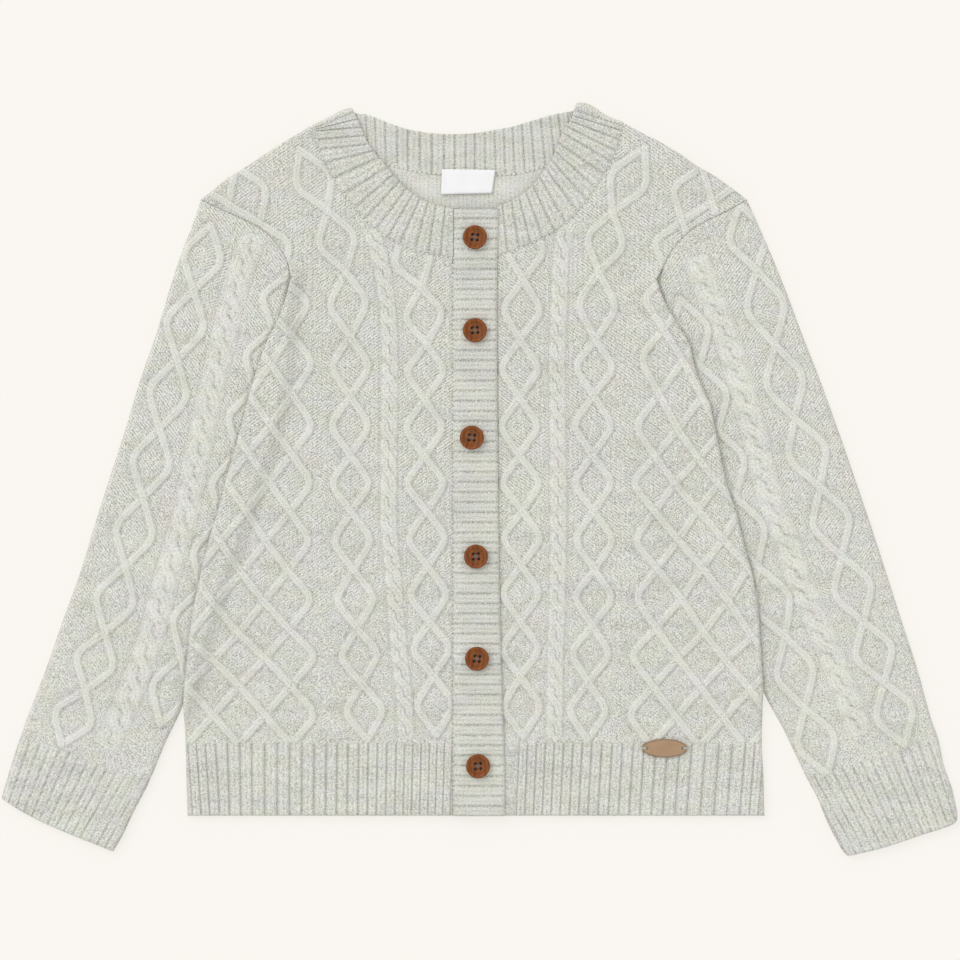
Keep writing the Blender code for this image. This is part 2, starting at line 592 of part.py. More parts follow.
def make_front(name, sign, edges, neck_table, centre_edge, knots, strands, lobes):
    """One front; `sign` is -1 for the wearer's right and +1 for the left."""
    shoulder, armhole, underarm, side = edges
    body = np.array((0.0, 400.0))
    neck = seam_side(smooth(neck_table, 7.0), np.array((sign * 100.0, 250.0)))
    neck = neck[1:]
    neck[-1] = (centre_edge[0][0], neck[-1][1] - 0.25)
    hem_x, share_up = hem_stations(knots)
    if sign < 0:
        hem_x, share_up = hem_x[::-1], share_up[::-1]
    hem = [(x, 0.0) for x in hem_x]
    if sign < 0:
        outline = closed_outline([(side[-1][0], 0.0)], hem, centre_edge[::-1], neck[::-1],
                                 shoulder[:-1], seam_side(armhole, body), underarm, side)
    else:
        outline = closed_outline(centre_edge[-1:], hem, side[::-1], underarm[::-1],
                                 seam_side(armhole, body)[::-1], shoulder[-2::-1], neck,
                                 centre_edge)
    loop = np.vstack([outline, outline[:1]])
    flank = joined(underarm, side)
    ring = [shoulder, flank]
    covered = tucks(*body_edges())
    lift = body_lift(covered)
    ramp = lift_lines(covered, outline)

    def in_pattern(points):
        return (inside(points, outline) & (distance(points, [loop]) > 1.5)
                & (points[:, 1] > HEM_RIB + 1.6))

    lines = []
    for path in strand_lines(strands, STRAND_FOOT) + lobe_lines(lobes, ROPE[3]):
        lines += clipped(path, in_pattern)
    for x in hem_x:
        lines.append(np.array([(x, 0.0), (x, HEM_RIB - 1.0)]))
    inner = beside(flank, EDGE_ROUND * (1 if sign < 0 else -1))
    lines += clipped(inner, lambda p: inside(p, outline) & (distance(p, [loop]) > 1.0)
                     & (p[:, 1] > 3.0))
    order = np.argsort(hem_x)

    def top(points):
        level = softened(points, lift(points) + FRONT_LEVEL + WALL, ring)
        knit = np.maximum(raised(points, strands, STRAND_FOOT, STRAND_RISE),
                          raised(points, lobes, ROPE[3], ROPE_RISE))
        knit = np.where(points[:, 1] > HEM_RIB, knit, 0.0)
        rib = np.interp(points[:, 0], hem_x[order], share_up[order], 0.0, 0.0)
        fade = np.clip((HEM_RIB + 0.3 - points[:, 1]) / 1.2, 0.0, 1.0)
        return level + knit + RIB_RISE * rib * fade

    solid = Solid(name)
    solid.surface(triangulated(outline, lines + ramp), top)
    solid.surface(triangulated(outline, ramp), lambda p: lift(p) + FRONT_LEVEL, up=False)
    low, level = lift(outline) + FRONT_LEVEL, top(outline)
    for i, j in enumerate(np.roll(np.arange(len(outline)), -1)):
        solid.quad((*outline[i], low[i]), (*outline[j], low[j]),
                   (*outline[j], level[j]), (*outline[i], level[i]))
    solid.build()


def make_fronts():
    left, right = body_edges()
    seam = PLACKET_SEAM_X - SEAM
    edge = smooth(PLACKET_EDGE, 20.0)
    edge = edge[edge[:, 1] < 262.0] + (SEAM, 0.0)
    edge = np.vstack([[(edge[0][0], 268.0)], edge])
    strands = (ladder(LADDER_1L, FRONT_HALF) + ladder(LADDER_2L, FRONT_HALF)
               + lattice(LATTICE_L, -1, LATTICE_COLUMN_L, 7))
    make_front("front_right", -1, left, NECK_SEAM_L, np.array([(seam, 267.0), (seam, 0.0)]),
               HEM_GROOVES_L, strands, rope(ROPE_L, ROPE))
    strands = (ladder(LADDER_1R, FRONT_HALF) + ladder(LADDER_2R, FRONT_HALF)
               + lattice(LATTICE_R, 1, LATTICE_COLUMN_R, 7))
    make_front("front_left", 1, right, NECK_SEAM_R, edge, HEM_GROOVES_R, strands, rope(ROPE_R, ROPE))


# Sleeves ------------------------------------------------------------------------------

HALF_TUBE = WALL + SEAM / 2


def make_sleeve(name, sign, outer, inner, cuff, cuff_top, armhole, underarm, side, strands, lobes):
    """A flattened tube; its inner fold lies beneath the side of the body."""
    outer, inner = smooth(outer, 15.0), smooth(inner, 11.0)
    mouth = seam_side(smooth(armhole, 5.0), np.array((sign * 160.0, 240.0)))
    mouth[0], mouth[-1] = outer[0], inner[0]
    ends = smooth(cuff, 1.0)
    tops = smooth(cuff_top, 1.0)
    count = np.linspace(0.0, 1.0, 2 * CUFF_RIBS + 1)
    rib_foot = at_lengths(ends, count * travelled(ends)[-1])
    rib_head = at_lengths(tops, count * travelled(tops)[-1])
    crests = [np.array([rib_foot[i], rib_head[i]]) for i in range(1, 2 * CUFF_RIBS, 2)]
    grooves = [np.array([rib_foot[i], rib_head[i]]) for i in range(2, 2 * CUFF_RIBS, 2)]
    inset_end = at_lengths(ends, np.array([0.6]))
    inset_start = at_lengths(ends, np.array([travelled(ends)[-1] - 0.6]))
    cuff_path = joined(rib_foot[:1], inset_end, rib_foot[1:-1], inset_start, rib_foot[-1:])
    covered = joined(underarm, side)
    body = np.vstack([covered, [(sign * 20.0, 0.0), (sign * 20.0, 261.0)]])

    def open_share(points):
        clear = np.clip((distance(points, [covered]) - 0.4) / 1.2, 0.0, 1.0)
        return np.where(inside(points, body), 0.0, clear)

    folds = [outer, inner]
    rib_half = travelled(ends)[-1] / CUFF_RIBS / 2

    def bulge(points):
        depth = np.clip(distance(points, folds) / HALF_TUBE, 0.0, 1.0)
        return HALF_TUBE * np.sqrt(1.0 - (1.0 - depth) ** 2)

    def above_cuff(points):
        return points[:, 1] > np.interp(sign * points[:, 0], *sorted_rows(tops * (sign, 1.0)))

    def relief(points):
        knit = np.maximum(raised(points, strands, STRAND_FOOT, STRAND_RISE),
                          raised(points, lobes, BROAD_ROPE[3], ROPE_RISE))
        rib = raised(points, crests, rib_half, RIB_RISE)
        near = np.clip(distance(points, folds) / HALF_TUBE, 0.0, 1.0)
        return np.where(above_cuff(points), knit, rib) * near * open_share(points)

    def top(points):
        return HALF_TUBE + bulge(points) + relief(points)

    def bottom(points):
        return HALF_TUBE - bulge(points)

    order = 1 if sign < 0 else -1
    outline = closed_outline(*[path[::order] for path in
                               ((cuff_path, inner[::-1], mouth[::-1], outer)[::order])])
    loop = np.vstack([outline, outline[:1]])

    def in_face(points):
        return inside(points, outline) & (distance(points, [loop]) > 2.6)

    lines = []
    for away in (0.4, 1.6):
        lines += clipped(seam_side(covered, np.array((sign * 300.0, 150.0)), away), in_face)
    rounding = []
    for fold in folds:
        for depth in (0.7, 2.0):
            path = seam_side(fold, np.array((sign * 160.0, 150.0)), depth)
            rounding += clipped(path, lambda p, d=depth: inside(p, outline)
                                & (distance(p, [mouth, cuff_path]) > 0.8)
                                & (distance(p, folds) > d - 0.1))
    lines += rounding
    for path in strand_lines(strands, STRAND_FOOT) + lobe_lines(lobes, BROAD_ROPE[3]):
        lines += clipped(path, lambda p: inside(p, outline) & above_cuff(p - (0.0, 1.0))
                         & (distance(p, folds) > 2.3) & (distance(p, [mouth]) > 1.3)
                         & (open_share(p) > 0.99))
    for path in crests + grooves:
        lines.append(path[0] + (path[1] - path[0]) * np.array([[0.0], [0.97]]))

    solid = Solid(name)
    solid.surface(triangulated(outline, lines), top)
    solid.surface(triangulated(outline, rounding), bottom, up=False)

    # The hollow between the two layers
    inner_in = seam_side(inner, np.array((sign * 160.0, 150.0)), WALL)
    outer_in = seam_side(outer, np.array((sign * 160.0, 150.0)), WALL)
    inner_in[0], inner_in[-1] = step_in(mouth[::-1], WALL), step_in(cuff_path[::-1], WALL)
    outer_in[0], outer_in[-1] = step_in(mouth, WALL), step_in(cuff_path, WALL)
    mouth_in = joined(outer_in[:1], away_from_ends(mouth, WALL + 0.5), inner_in[:1])
    cuff_in = joined(outer_in[-1:], away_from_ends(cuff_path, WALL + 0.5), inner_in[-1:])
    hollow = closed_outline(*[path[::order] for path in
                              ((cuff_in, inner_in[::-1], mouth_in[::-1], outer_in)[::order])])
    hollow_folds = [outer_in, inner_in]

    def slot(points, way):
        parted = np.clip(distance(points, hollow_folds) / 0.8, 0.0, 1.0)
        return HALF_TUBE + way * SEAM / 2 * parted

    inset = []
    for fold in hollow_folds:
        path = seam_side(fold, np.array((sign * 160.0, 150.0)), 1.0)
        inset += clipped(path, lambda p: inside(p, hollow)
                         & (distance(p, [mouth_in, cuff_in]) > 0.8)
                         & (distance(p, hollow_folds) > 0.9))
    mesh = triangulated(hollow, inset)
    solid.surface(mesh, lambda p: slot(p, 1), up=False)
    solid.surface(mesh, lambda p: slot(p, -1))
    for edge, edge_in, flip in ((mouth, mouth_in, False), (cuff_path, cuff_in, True)):
        for height, way, turned in ((top, 1, flip), (bottom, -1, not flip)):
            rim = np.column_stack([edge, height(edge)])
            rim_in = np.column_stack([edge_in, slot(edge_in, way)])
            if turned != (sign > 0):
                solid.band(rim_in, rim)
            else:
                solid.band(rim, rim_in)
    solid.build()


def sorted_rows(path):
    order = np.argsort(path[:, 0])
    return path[order, 0], path[order, 1]


def away_from_ends(path, reach):
    where = travelled(path)
    return path[(where > reach) & (where < where[-1] - reach)]


def step_in(path, length):
    return at_lengths(np.array(path), np.array([length]))[0]


def make_sleeves():
    strands = ladder(OUTER_LADDER_L, SLEEVE_HALF) + ladder(INNER_LADDER_L, SLEEVE_HALF)
    left, right = body_edges()
    make_sleeve("sleeve_right", -1, SLEEVE_OUTER_L, SLEEVE_INNER_L, CUFF_EDGE_L, CUFF_TOP_L,
                ARMHOLE_L, left[2], left[3], strands,
                rope(SLEEVE_ROPE_L, BROAD_ROPE))
    strands = ladder(OUTER_LADDER_R, SLEEVE_HALF) + ladder(INNER_LADDER_R, SLEEVE_HALF)
    make_sleeve("sleeve_left", 1, SLEEVE_OUTER_R, SLEEVE_INNER_R, CUFF_EDGE_R, CUFF_TOP_R,
                ARMHOLE_R, right[2], right[3], strands,
                rope(SLEEVE_ROPE_R, BROAD_ROPE))


# Strips -------------------------------------------------------------------------------

def sweep(name, rings):
    """A closed rib strip through rings of points, which run the same way round."""
    solid = Solid(name, "rib")
    for one, two in zip(rings, rings[1:]):
        if len(one) != len(two):
            solid.band(one, two, closed=True)
            continue
        for i in range(len(one)):
            j = (i + 1) % len(one)
            solid.quad(one[i], one[j], two[j], two[i])
    for ring, order in ((rings[0], -1), (rings[-1], 1)):
        last = len(ring) - 1
        for i in range(len(ring) // 2 - 1):
            corners = (ring[i], ring[i + 1], ring[last - i - 1], ring[last - i])
            solid.quad(*corners[::order])
    solid.build()


def band_part(free, seam, stations):
    free, seam = smooth(free, 1.0), smooth(seam, 1.0)
    shares = np.linspace(0.0, 1.0, stations + 1)
    return (at_lengths(free, shares * travelled(free)[-1]),
            at_lengths(seam, shares * travelled(seam)[-1]))


def make_neckband():
    """One rib strip round the neck, folded over at both neck points."""
    left = band_part(NECK_FREE_L[::-1], NECK_SEAM_L[::-1], 46)
    back = band_part(BACK_FREE, BACK_SEAM, 54)
    right = band_part(NECK_FREE_R, NECK_SEAM_R, 46)
    rings = front_rings(left)
    rings += fold_rings(left[0][-1], left[1][-1], (45.0, 90.0, 135.0))
    rings += [band_ring(free, seam, np.zeros(2), math.pi, RIB_RISE * (i % 2))
              for i, (free, seam) in enumerate(zip(*back))][1:-1]
    rings += fold_rings(right[0][0], right[1][0], (135.0, 90.0, 45.0))
    rings += front_rings(right)
    sweep("neckband", rings)


def front_rings(part):
    return [band_ring(free, seam, np.zeros(2), 0.0, RIB_RISE * (i % 2))
            for i, (free, seam) in enumerate(zip(*part))]


def fold_rings(free, seam, turns):
    line = free - seam
    outward = np.array((-line[1], line[0])) / np.linalg.norm(line)
    outward *= 1.0 if outward[1] > 0 else -1.0
    return [band_ring(free, seam, outward, math.radians(turn), 0.0) for turn in turns]


def band_ring(free, seam, outward, angle, crest):
    """Ring across the band; the angle turns its outer face from up to down."""
    middle = FRONT_LEVEL - SEAM / 2
    inward = (free - seam) / np.linalg.norm(free - seam)
    seam = seam + inward * SEAM / 2
    out = np.append(outward * math.sin(angle), math.cos(angle))
    plain = ((0.0, 0.0), (1.0, 0.0))
    ribbed = ((0.0, -0.5), (0.06, 0.0), (0.94, 0.0), (1.0, -0.5))
    if angle == 0.0:
        faces = [(across, rise + crest) for across, rise in ribbed], plain
    elif angle == math.pi:
        faces = plain, [(across, rise + crest - RIB_RISE) for across, rise in ribbed]
    else:
        faces = ribbed, ribbed
    ring = []
    for (profile, depth, way) in ((faces[0], SEAM / 2 + WALL, 1), (faces[1], SEAM / 2, -1)):
        for across, rise in profile[::way]:
            base = seam + (free - seam) * across
            ring.append(tuple(np.append(base, middle) + out * (depth + way * rise)))
    return ring


def make_plackets():
    stations = np.linspace(PLACKET_TOP, PLACKET_HEM, 2 * PLACKET_RIBS + 1)
    edge = smooth(PLACKET_EDGE, 2.0)
    edge_x = np.interp(stations[::-1], edge[::-1, 1], edge[::-1, 0])[::-1]
    rings = []
    for i, (y, x) in enumerate(zip(stations, edge_x)):
        crest = RIB_RISE if i % 2 else 0.0
        start, knee = PLACKET_SEAM_X, PLACKET_SEAM_X + 4.0
        low, high = FRONT_LEVEL, PLACKET_LEVEL
        rings.append([(start, y, low), (knee, y, high), (x, y, high), (x - 0.4, y, high + WALL + crest),
                      (knee, y, high + WALL + crest), (start, y, low + WALL + 0.5 * crest)])
    sweep("placket_top", rings)
    stations = np.linspace(PLACKET_TOP - 0.5, PLACKET_HEM, 31)
    edge_x = np.interp(stations[::-1], edge[::-1, 1], edge[::-1, 0])[::-1]
    rings = [[(UNDER_PLACKET_X, y, FRONT_LEVEL), (x, y, FRONT_LEVEL), (x, y, FRONT_LEVEL + WALL),
              (UNDER_PLACKET_X, y, FRONT_LEVEL + WALL)] for x, y in zip(edge_x, stations)]
    sweep("placket_under", rings)


# Trims --------------------------------------------------------------------------------

def circle(centre, radius, sides, turn=0.0):
    angles = turn + np.arange(sides) * 2 * math.pi / sides
    return np.stack([centre[0] + radius * np.cos(angles), centre[1] + radius * np.sin(angles)], 1)


def make_button(number, centre):
    base = PLACKET_LEVEL + WALL + RIB_RISE + SEAM
    turn = math.radians(17.0 * number)
    corners = circle(centre, BUTTON_HOLE_PITCH / math.sqrt(2.0), 4, turn + math.pi / 4)
    holes = [circle(corner, BUTTON_HOLE, 6) for corner in corners]
    top = base + BUTTON_THICK
    # Profile from the dish over the rim to the underside: (radius, z)
    profile = ((BUTTON_DISH, top - BUTTON_DISH_DEPTH), (BUTTON_DISH + 0.4, top),
               (BUTTON_RADIUS - 0.5, top), (BUTTON_RADIUS, top - 0.7),
               (BUTTON_RADIUS - 1.0, base))
    solid = Solid("button_%d" % number, "button_wood")
    dish = circle(centre, profile[0][0], BUTTON_SIDES)
    under = circle(centre, profile[-1][0], BUTTON_SIDES)
    solid.surface(triangulated(dish, (), holes), lambda p: np.full(len(p), profile[0][1]))
    solid.surface(triangulated(under, (), holes), lambda p: np.full(len(p), base), up=False)
    for (r1, z1), (r2, z2) in zip(profile, profile[1:]):
        one, two = circle(centre, r1, BUTTON_SIDES), circle(centre, r2, BUTTON_SIDES)
        for i in range(BUTTON_SIDES):
            j = (i + 1) % BUTTON_SIDES
            solid.quad((*one[i], z1), (*two[i], z2), (*two[j], z2), (*one[j], z1))
    for hole in holes:
        bore(solid, hole, profile[0][1], base)
    solid.build()


def bore(solid, hole, top, bottom):
    for a, b in zip(hole, np.roll(hole, -1, axis=0)):
        solid.quad((*a, top), (*b, top), (*b, bottom), (*a, bottom))


def make_plate(name, finish, outline, holes, bottom, thick, bevel):
    """A thin flat piece with a bevelled upper edge."""
    solid = Solid(name, finish)
    outline = np.array(outline)
    centre = outline.mean(0)
    reach = np.linalg.norm(outline - centre, axis=1)[:, None]
    upper = centre + (outline - centre) * (1.0 - bevel / reach)
    top = bottom + thick
    solid.surface(triangulated(upper, (), holes), lambda p: np.full(len(p), top))
    solid.surface(triangulated(outline, (), holes), lambda p: np.full(len(p), bottom), up=False)
    count = len(outline)
    for i in range(count):
        j = (i + 1) % count
        solid.quad((*outline[i], bottom), (*outline[j], bottom),
                   (*outline[j], top - bevel), (*outline[i], top - bevel))
        solid.quad((*outline[i], top - bevel), (*outline[j], top - bevel),
                   (*upper[j], top), (*upper[i], top))
    for hole in holes:
        bore(solid, hole, top, bottom)
    solid.build()


def make_trims():
    for number, centre in enumerate(BUTTONS, 1):
        make_button(number, centre)
    rows = []
    for a, b in zip(LABEL, LABEL[1:] + LABEL[:1]):
        for k in range(4):
            rows.append(np.array(a) + (np.array(b) - np.array(a)) * k / 4)
    make_plate("neck_label", "label_cloth", rows, (), BACK_LEVEL + WALL + RIB_RISE + SEAM,
               LABEL_THICK, 0.25)
    angles = np.arange(32) * 2 * math.pi / 32
    oval = [(TAG_CENTRE[0] + TAG_HALF[0] * math.cos(a),
             TAG_CENTRE[1] + TAG_HALF[1] * math.sin(a)) for a in angles]
    holes = [circle((TAG_CENTRE[0] + way * TAG_HOLE_REACH, TAG_CENTRE[1]), TAG_HOLE, 8)
             for way in (-1, 1)]
    make_plate("hem_tag", "tag_leather", oval, holes, FRONT_LEVEL + WALL + STRAND_RISE + SEAM,
               TAG_THICK, 0.25)


def main():
    for item in list(bpy.data.objects):
        bpy.data.objects.remove(item, do_unlink=True)
    make_back()
    make_fronts()
    make_sleeves()
    make_neckband()
    make_plackets()
    make_trims()


main()
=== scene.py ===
"""Looks of a baby cardigan in aran knit, lying flat and buttoned down the front.

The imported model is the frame: its buttons, plackets and panels give the places, and the
pieces made here have their form with the stitches, cables, ribs and trims worked out.
Tables are in millimetres, X from the centre front and Y from the hem; to_frame() moves
them into the model's frame, in metres.
"""
import math

import bmesh
import bpy
import numpy as np
from mathutils import Matrix, Vector
from mathutils.geometry import delaunay_2d_cdt


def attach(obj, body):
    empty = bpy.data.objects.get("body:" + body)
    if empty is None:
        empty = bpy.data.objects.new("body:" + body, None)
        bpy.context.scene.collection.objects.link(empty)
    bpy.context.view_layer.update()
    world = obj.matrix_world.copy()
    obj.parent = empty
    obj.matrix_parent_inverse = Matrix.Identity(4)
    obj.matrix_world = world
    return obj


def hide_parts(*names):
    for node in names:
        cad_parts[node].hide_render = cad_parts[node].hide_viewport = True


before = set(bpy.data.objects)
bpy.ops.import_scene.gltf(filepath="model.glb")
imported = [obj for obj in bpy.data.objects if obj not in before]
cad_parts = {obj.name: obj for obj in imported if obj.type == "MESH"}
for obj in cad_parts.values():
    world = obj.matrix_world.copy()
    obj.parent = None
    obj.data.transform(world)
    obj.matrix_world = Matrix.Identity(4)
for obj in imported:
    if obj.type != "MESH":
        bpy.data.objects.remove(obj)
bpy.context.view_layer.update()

bl_info = {
    "name": "Baby cardigan looks",
    "version": (1, 0, 0),
    "blender": (4, 5, 0),
    "location": "3D View > Sidebar > Cardigan",
    "description": "Dresses the flat baby cardigan with its knit, ribs, buttons and label",
    "category": "Object",
}

MM = 0.001
ORIGIN = (1.75, 162.1)

# Cloth, as in the model
WALL = 1.8  # thickness of the knit
SEAM = 0.3  # gap between two pieces
HALF_TUBE = WALL + SEAM / 2
BACK_LEVEL = 0.0
FRONT_LEVEL = BACK_LEVEL + WALL + SEAM
PLACKET_LEVEL = FRONT_LEVEL + WALL + SEAM
BODY_LIFT = 2 * WALL + 2 * SEAM  # of the body where it lies over a sleeve
LIFT_FLAT = 0.45  # the lift is full this far beyond the sleeve
LIFT_REACH = 9.0  # and gone this far beyond it
HEM_RIB = 35.4  # height of the hem rib
HEM_HALF = 140.0  # half width of the hem
HEM_BLEND = (0.7, 0.9)  # below and above its top it gives way to the cables
CUFF_BLEND = 0.9  # and the cuff's, to either side
CUFF_RIBS = 14  # ribs across the face of a cuff

# Cables
# Ropes of the fronts and of the sleeves: pitch of the lobes, how far a strand swings to
# either side, and half its width
ROPE = (9.4, 2.1, 2.3)
BROAD_ROPE = (11.2, 3.2, 3.2)
ROPE_END = 0.4  # share of a lobe over which its ends rise
ROPE_LOBE = 0.85  # half length of a strand's turn on top, in lobes
ROPE_LOW = 0.15  # share of its height that a strand keeps beneath the other
ROPE_CREASE = 0.2  # depth of the crease between them, and of the ground beside a rope
ROPE_REACH = 3.0  # a rope shapes the ground this far beyond its strands
ROPE_SHADE = (0.45, 0.3)  # towards the sides and the ends of a lobe
ROPE_SIDE = (0.3, 0.8, 0.3)  # shade beside a rope: place, width and depth
CREASE_SHADE = (0.4, 1.4)  # width, as a difference of height, and depth
FRONT_HALF = 9.9  # half width of a ladder of diamonds on a front, at its corners
SLEEVE_HALF = 10.4  # and on a sleeve
CORNER = 0.3  # share of a strand's leg that rounds a corner
STRAND_REACH = 8.0  # a strand shapes the ground as far as this
STRAND_SIDE = (0.85, 0.1)  # its side falls from inside its edge to outside
LATTICE_COLUMNS = 7
CROSS_REACH = 3.0  # a strand dips this far from where it passes beneath another
CROSS_NEAR = 6.0  # a crossing counts in a square of this half width
CROSS_DIP = 0.6
CROSS_RISE = 0.2  # share of the dip by which the other strand rises
CROSS_SHADE = (4.5, 0.5, 0.9)  # reach and depth of the shade there, and on the lower strand
STRAND_SHADE = (0.25, 0.6, 0.35)  # beside a strand: place, width and depth
GUTTER = (0.3, 0.7, 0.18)  # the ground sinks there: place, width and depth
PILLOW = (3.5, 0.3)  # and swells inside the diamonds: width and height

# Stitches
COLUMN = 2.1  # width of a column of stitches on strands and ribs
STITCH = 1.45  # height of a stitch on them
STITCH_LEAN = 0.9  # how far its two legs lean, in stitches
WALE = 2.3  # width of a stitch of the ground
ROW = 1.62  # and its height
SHUT = 0.03  # gap left between two pieces at a sewn seam
TUCK = 1.2  # the left front reaches this far beneath the top placket
LINK_PITCH = 2.3  # from stitch to stitch along a seam
FRONT_LINK = (0.35, 0.85, 1.0)  # sink below the face, share of the pitch, and width
PLACKET_LINKS = (268, 1.0)  # from here to here down the placket's seam
BACK_LINK = (0.2, 0.8, 1.2)  # sink, share and width at the back of the neck
BEAD_RINGS = ((0.04, 0.45), (0.25, 0.9), (0.5, 1), (0.75, 0.9), (0.96, 0.45))  # place, swell
BEAD_RISE = 0.4  # half height of a stitch, as a share of its width

# Edges
EDGE_ROUND = 1.3  # rounded free edges
EDGE_WIDTH = 0.6  # share of the distance that counts there
SEAM_ROUND = 0.6  # edges at a seam
ARMHOLE_ROUND = 0.15
FLAT_SEAM = 1.6  # the pattern has its full height this far from a seam
FREE_EDGE = 0.6  # a free edge keeps some height, as if it lay this much further out
SEAM_SHADE = (0.8, 0.2)  # width and depth
PLACKET_SHADE = (1.8, 0.5)  # beside the top placket
SEAM_GROOVE = 0.9  # depth of the shade along the neckband's seam
BACK_SHADE = (2.2, 2.5, 0.9)  # width at the seam and below the bands, and depth
TUCKED_SHADE = 0.15  # of a sleeve beside the body
CLEAR_OF_BODY = (0.3, 1.5)  # a sleeve's pattern grows to its full height over this distance
CLEAR_OF_FOLD = (0.2, 2.2)
MOUTH_SINK = 0.2  # share of its bulge that a sleeve loses at the armhole
CUFF_SINK = 0.4  # and at the cuff's end

# Meshes
EDGE_STEP = 0.8  # between the points along an outline
BACK_STEP = EDGE_STEP * 1.5
LINE_STEP = 1.0  # along a line of stitches
COARSE_STEP = 3.0  # along a line that only measures
FINE_STEP = 0.1  # along the edges of the neckband
ROPE_MESH = 0.42  # between the points of a rope and of the hem rib
ROPE_MARGIN = 0.5  # the finer mesh reaches this far beyond a rope
HIDDEN_PITCH = 6.0  # between points that don't show
UNDER_PITCH = 3.0  # and of undersides
CURVE_STEP = 0.05
GRID_CLEAR = 0.55  # the grid keeps this share of its pitch from the outline
GRID_CLEAR_MOST = 0.6  # but no more than this
SAME = 0.05  # points nearer than this are one
FAR = 20.0  # a distance at which nothing is felt any more
ROW_SHARE = 0.866  # from row to row of a grid, as a share of its pitch
EDGE_REACH = 4.0  # an edge or seam is felt as far as this
SHADE_REACH = 6.0  # and its shade on the fronts and sleeves
BACK_REACH = 9.0  # and on the back

# Where a piece lies, to tell the two sides of its seams apart
BODY_TOP = (0.0, 400)
BODY_MIDDLE = (0.0, 150)
FRONT_MIDDLE = (100, 250)
SLEEVE_MIDDLE = (160, 150)
BODY_CORNERS = ((20, 0.0), (20, 261))  # they close the body's outline over a sleeve
BODY_MARGIN = 3.0  # a sleeve needs its full mesh this far beneath the body
BACK_SEEN = (75, 255)  # the back shows nearer the centre than this, and above this
BACK_KNIT = (250, 270)  # it turns to knit stitches over this height

# Plackets, buttons, label and tag
PLACKET_SEAM_X = -11.0
PLACKET_TOP = 294.5
FRONT_TOP = 270.2  # of the front's edge at the placket's seam
PLACKET_RIBS = 60
PLACKET_KNEE = 4.0  # the top placket rises from its seam over this width
PLACKET_RIB_RISE = 0.6
PLACKET_ROUND = (0.2, 1.1, 0.9)  # at its seam, its free edge and its two ends
UNDER_PLACKET_X = -6.5
UNDER_PLACKET_DROP = 0.5  # its top lies this far below the other's
BUTTON_RADIUS = 5.9
BUTTON_THICK = 2.4
BUTTON_FOOT = 0.83  # width of the underside, as a share of the button's
BUTTON_RIM = 1.15  # width of the rim
BUTTON_SLOPE = 0.55  # width and depth of the slope from the rim to the dish
BUTTON_BEVEL = 0.28
BUTTON_HOLE = 0.8
BUTTON_HOLE_PITCH = 2.5
CUTTER_LENGTH = 20.0
DARK_SIDE = (0.1, 0.45)  # the wood is dark at the side and light this far in
# Painted shade in the recessed dish, twice as dark in its corner at the foot of the slope
DISH_SHADE = 0.25  # how much of that darkness the dish has
DISH_CORNER_SHADE = (1.4, 2.2)  # and twice as much between these places in from the side
GRAIN_SLANT = 0.4  # of the grain on the side
BUTTON_TURN = 5.0  # degrees, one way and the other
BUTTONS = ((-0.5, 280.5), (-0.5, 235.5), (-2.0, 183.5), (0.0, 126), (0.5, 76.5), (1.0, 24.5))
THREAD_HALF = 0.27  # half thickness of a bundle of thread
THREAD_SHARE = 0.74  # where it goes down, as a share of the way to a hole
THREAD_DOWN = 1.6
THREAD_RISE = (0.8, 0.35)  # of the lower bundle, and of the upper above that
THREAD_KNOT = (2.7, 0.22, -0.14)  # radius, thickness and height of the knot
LABEL = ((-16.9, 301.6), (7.8, 302.2), (9.4, 313.4), (-16.6, 313.9))
LABEL_THICK = 1.0
LABEL_LEVEL = BACK_LEVEL + WALL + 0.9
LABEL_PITCH = 0.5
LABEL_ROUND = 0.45
LABEL_CURL = (0.12, 0.5, 3.0)  # its waves: height, pace along X, and full this far in
# Painted shade along the seam at each end of the label: place, width and darkness
LABEL_SEAM = (1.5, 0.3, 0.8)  # place, width and depth of the seam at each end
TAG_CENTRE = (91.5, 33)
TAG_HALF = (11.2, 4.4)
TAG_POWERS = (0.9, 1.15)  # they make its oval a little fuller along and slimmer across
TAG_THICK = 1.0
TAG_RIM = 0.9
TAG_BEVEL = 0.22
TAG_DARK = (0.88, 1.0)  # it darkens between these shares of the way to its edge
TAG_HOLE = 0.7
TAG_HOLE_REACH = 8.8
TAG_LEVEL = FRONT_LEVEL + WALL + 1.1
TAG_STITCH = (3.0, 0.5, 0.28)  # length, width and half the distance between two
TAG_STITCH_START = TAG_HOLE_REACH - 0.2
TAG_STITCH_RISE = 0.1

# Ribs of the bands
RIB_SHARES = (0.0, 0.06, 0.14, 0.3, 0.5, 0.7, 0.86, 0.94)  # rings of points across a rib
RIB_SIDE = 0.13  # share of a rib over which its side rises
RIB_FACE = (0.02, 0.12)  # and over which its stitches begin
BAND_FACE = (0.03, 0.14)  # the same on the bands
RIB_GROOVE = (1.35, 0.85, 0.11)  # shade in a groove, how much less on the rib, and its width
BAND_GROOVE = (1.45, 0.95, 0.08)
PLACKET_GROOVE = (1.0, 0.5, 0.08)
BAND_PITCH = 4.65
BAND_ROUND = (0.5, 0.9)  # at the seam and at the free edge
BAND_RISE = 1.4  # a rib has its full height this far from an edge
BAND_THICKER = 0.7  # its ribs keep some height in the same way
PLACKET_THICKER = 0.4  # and the placket's at the seam
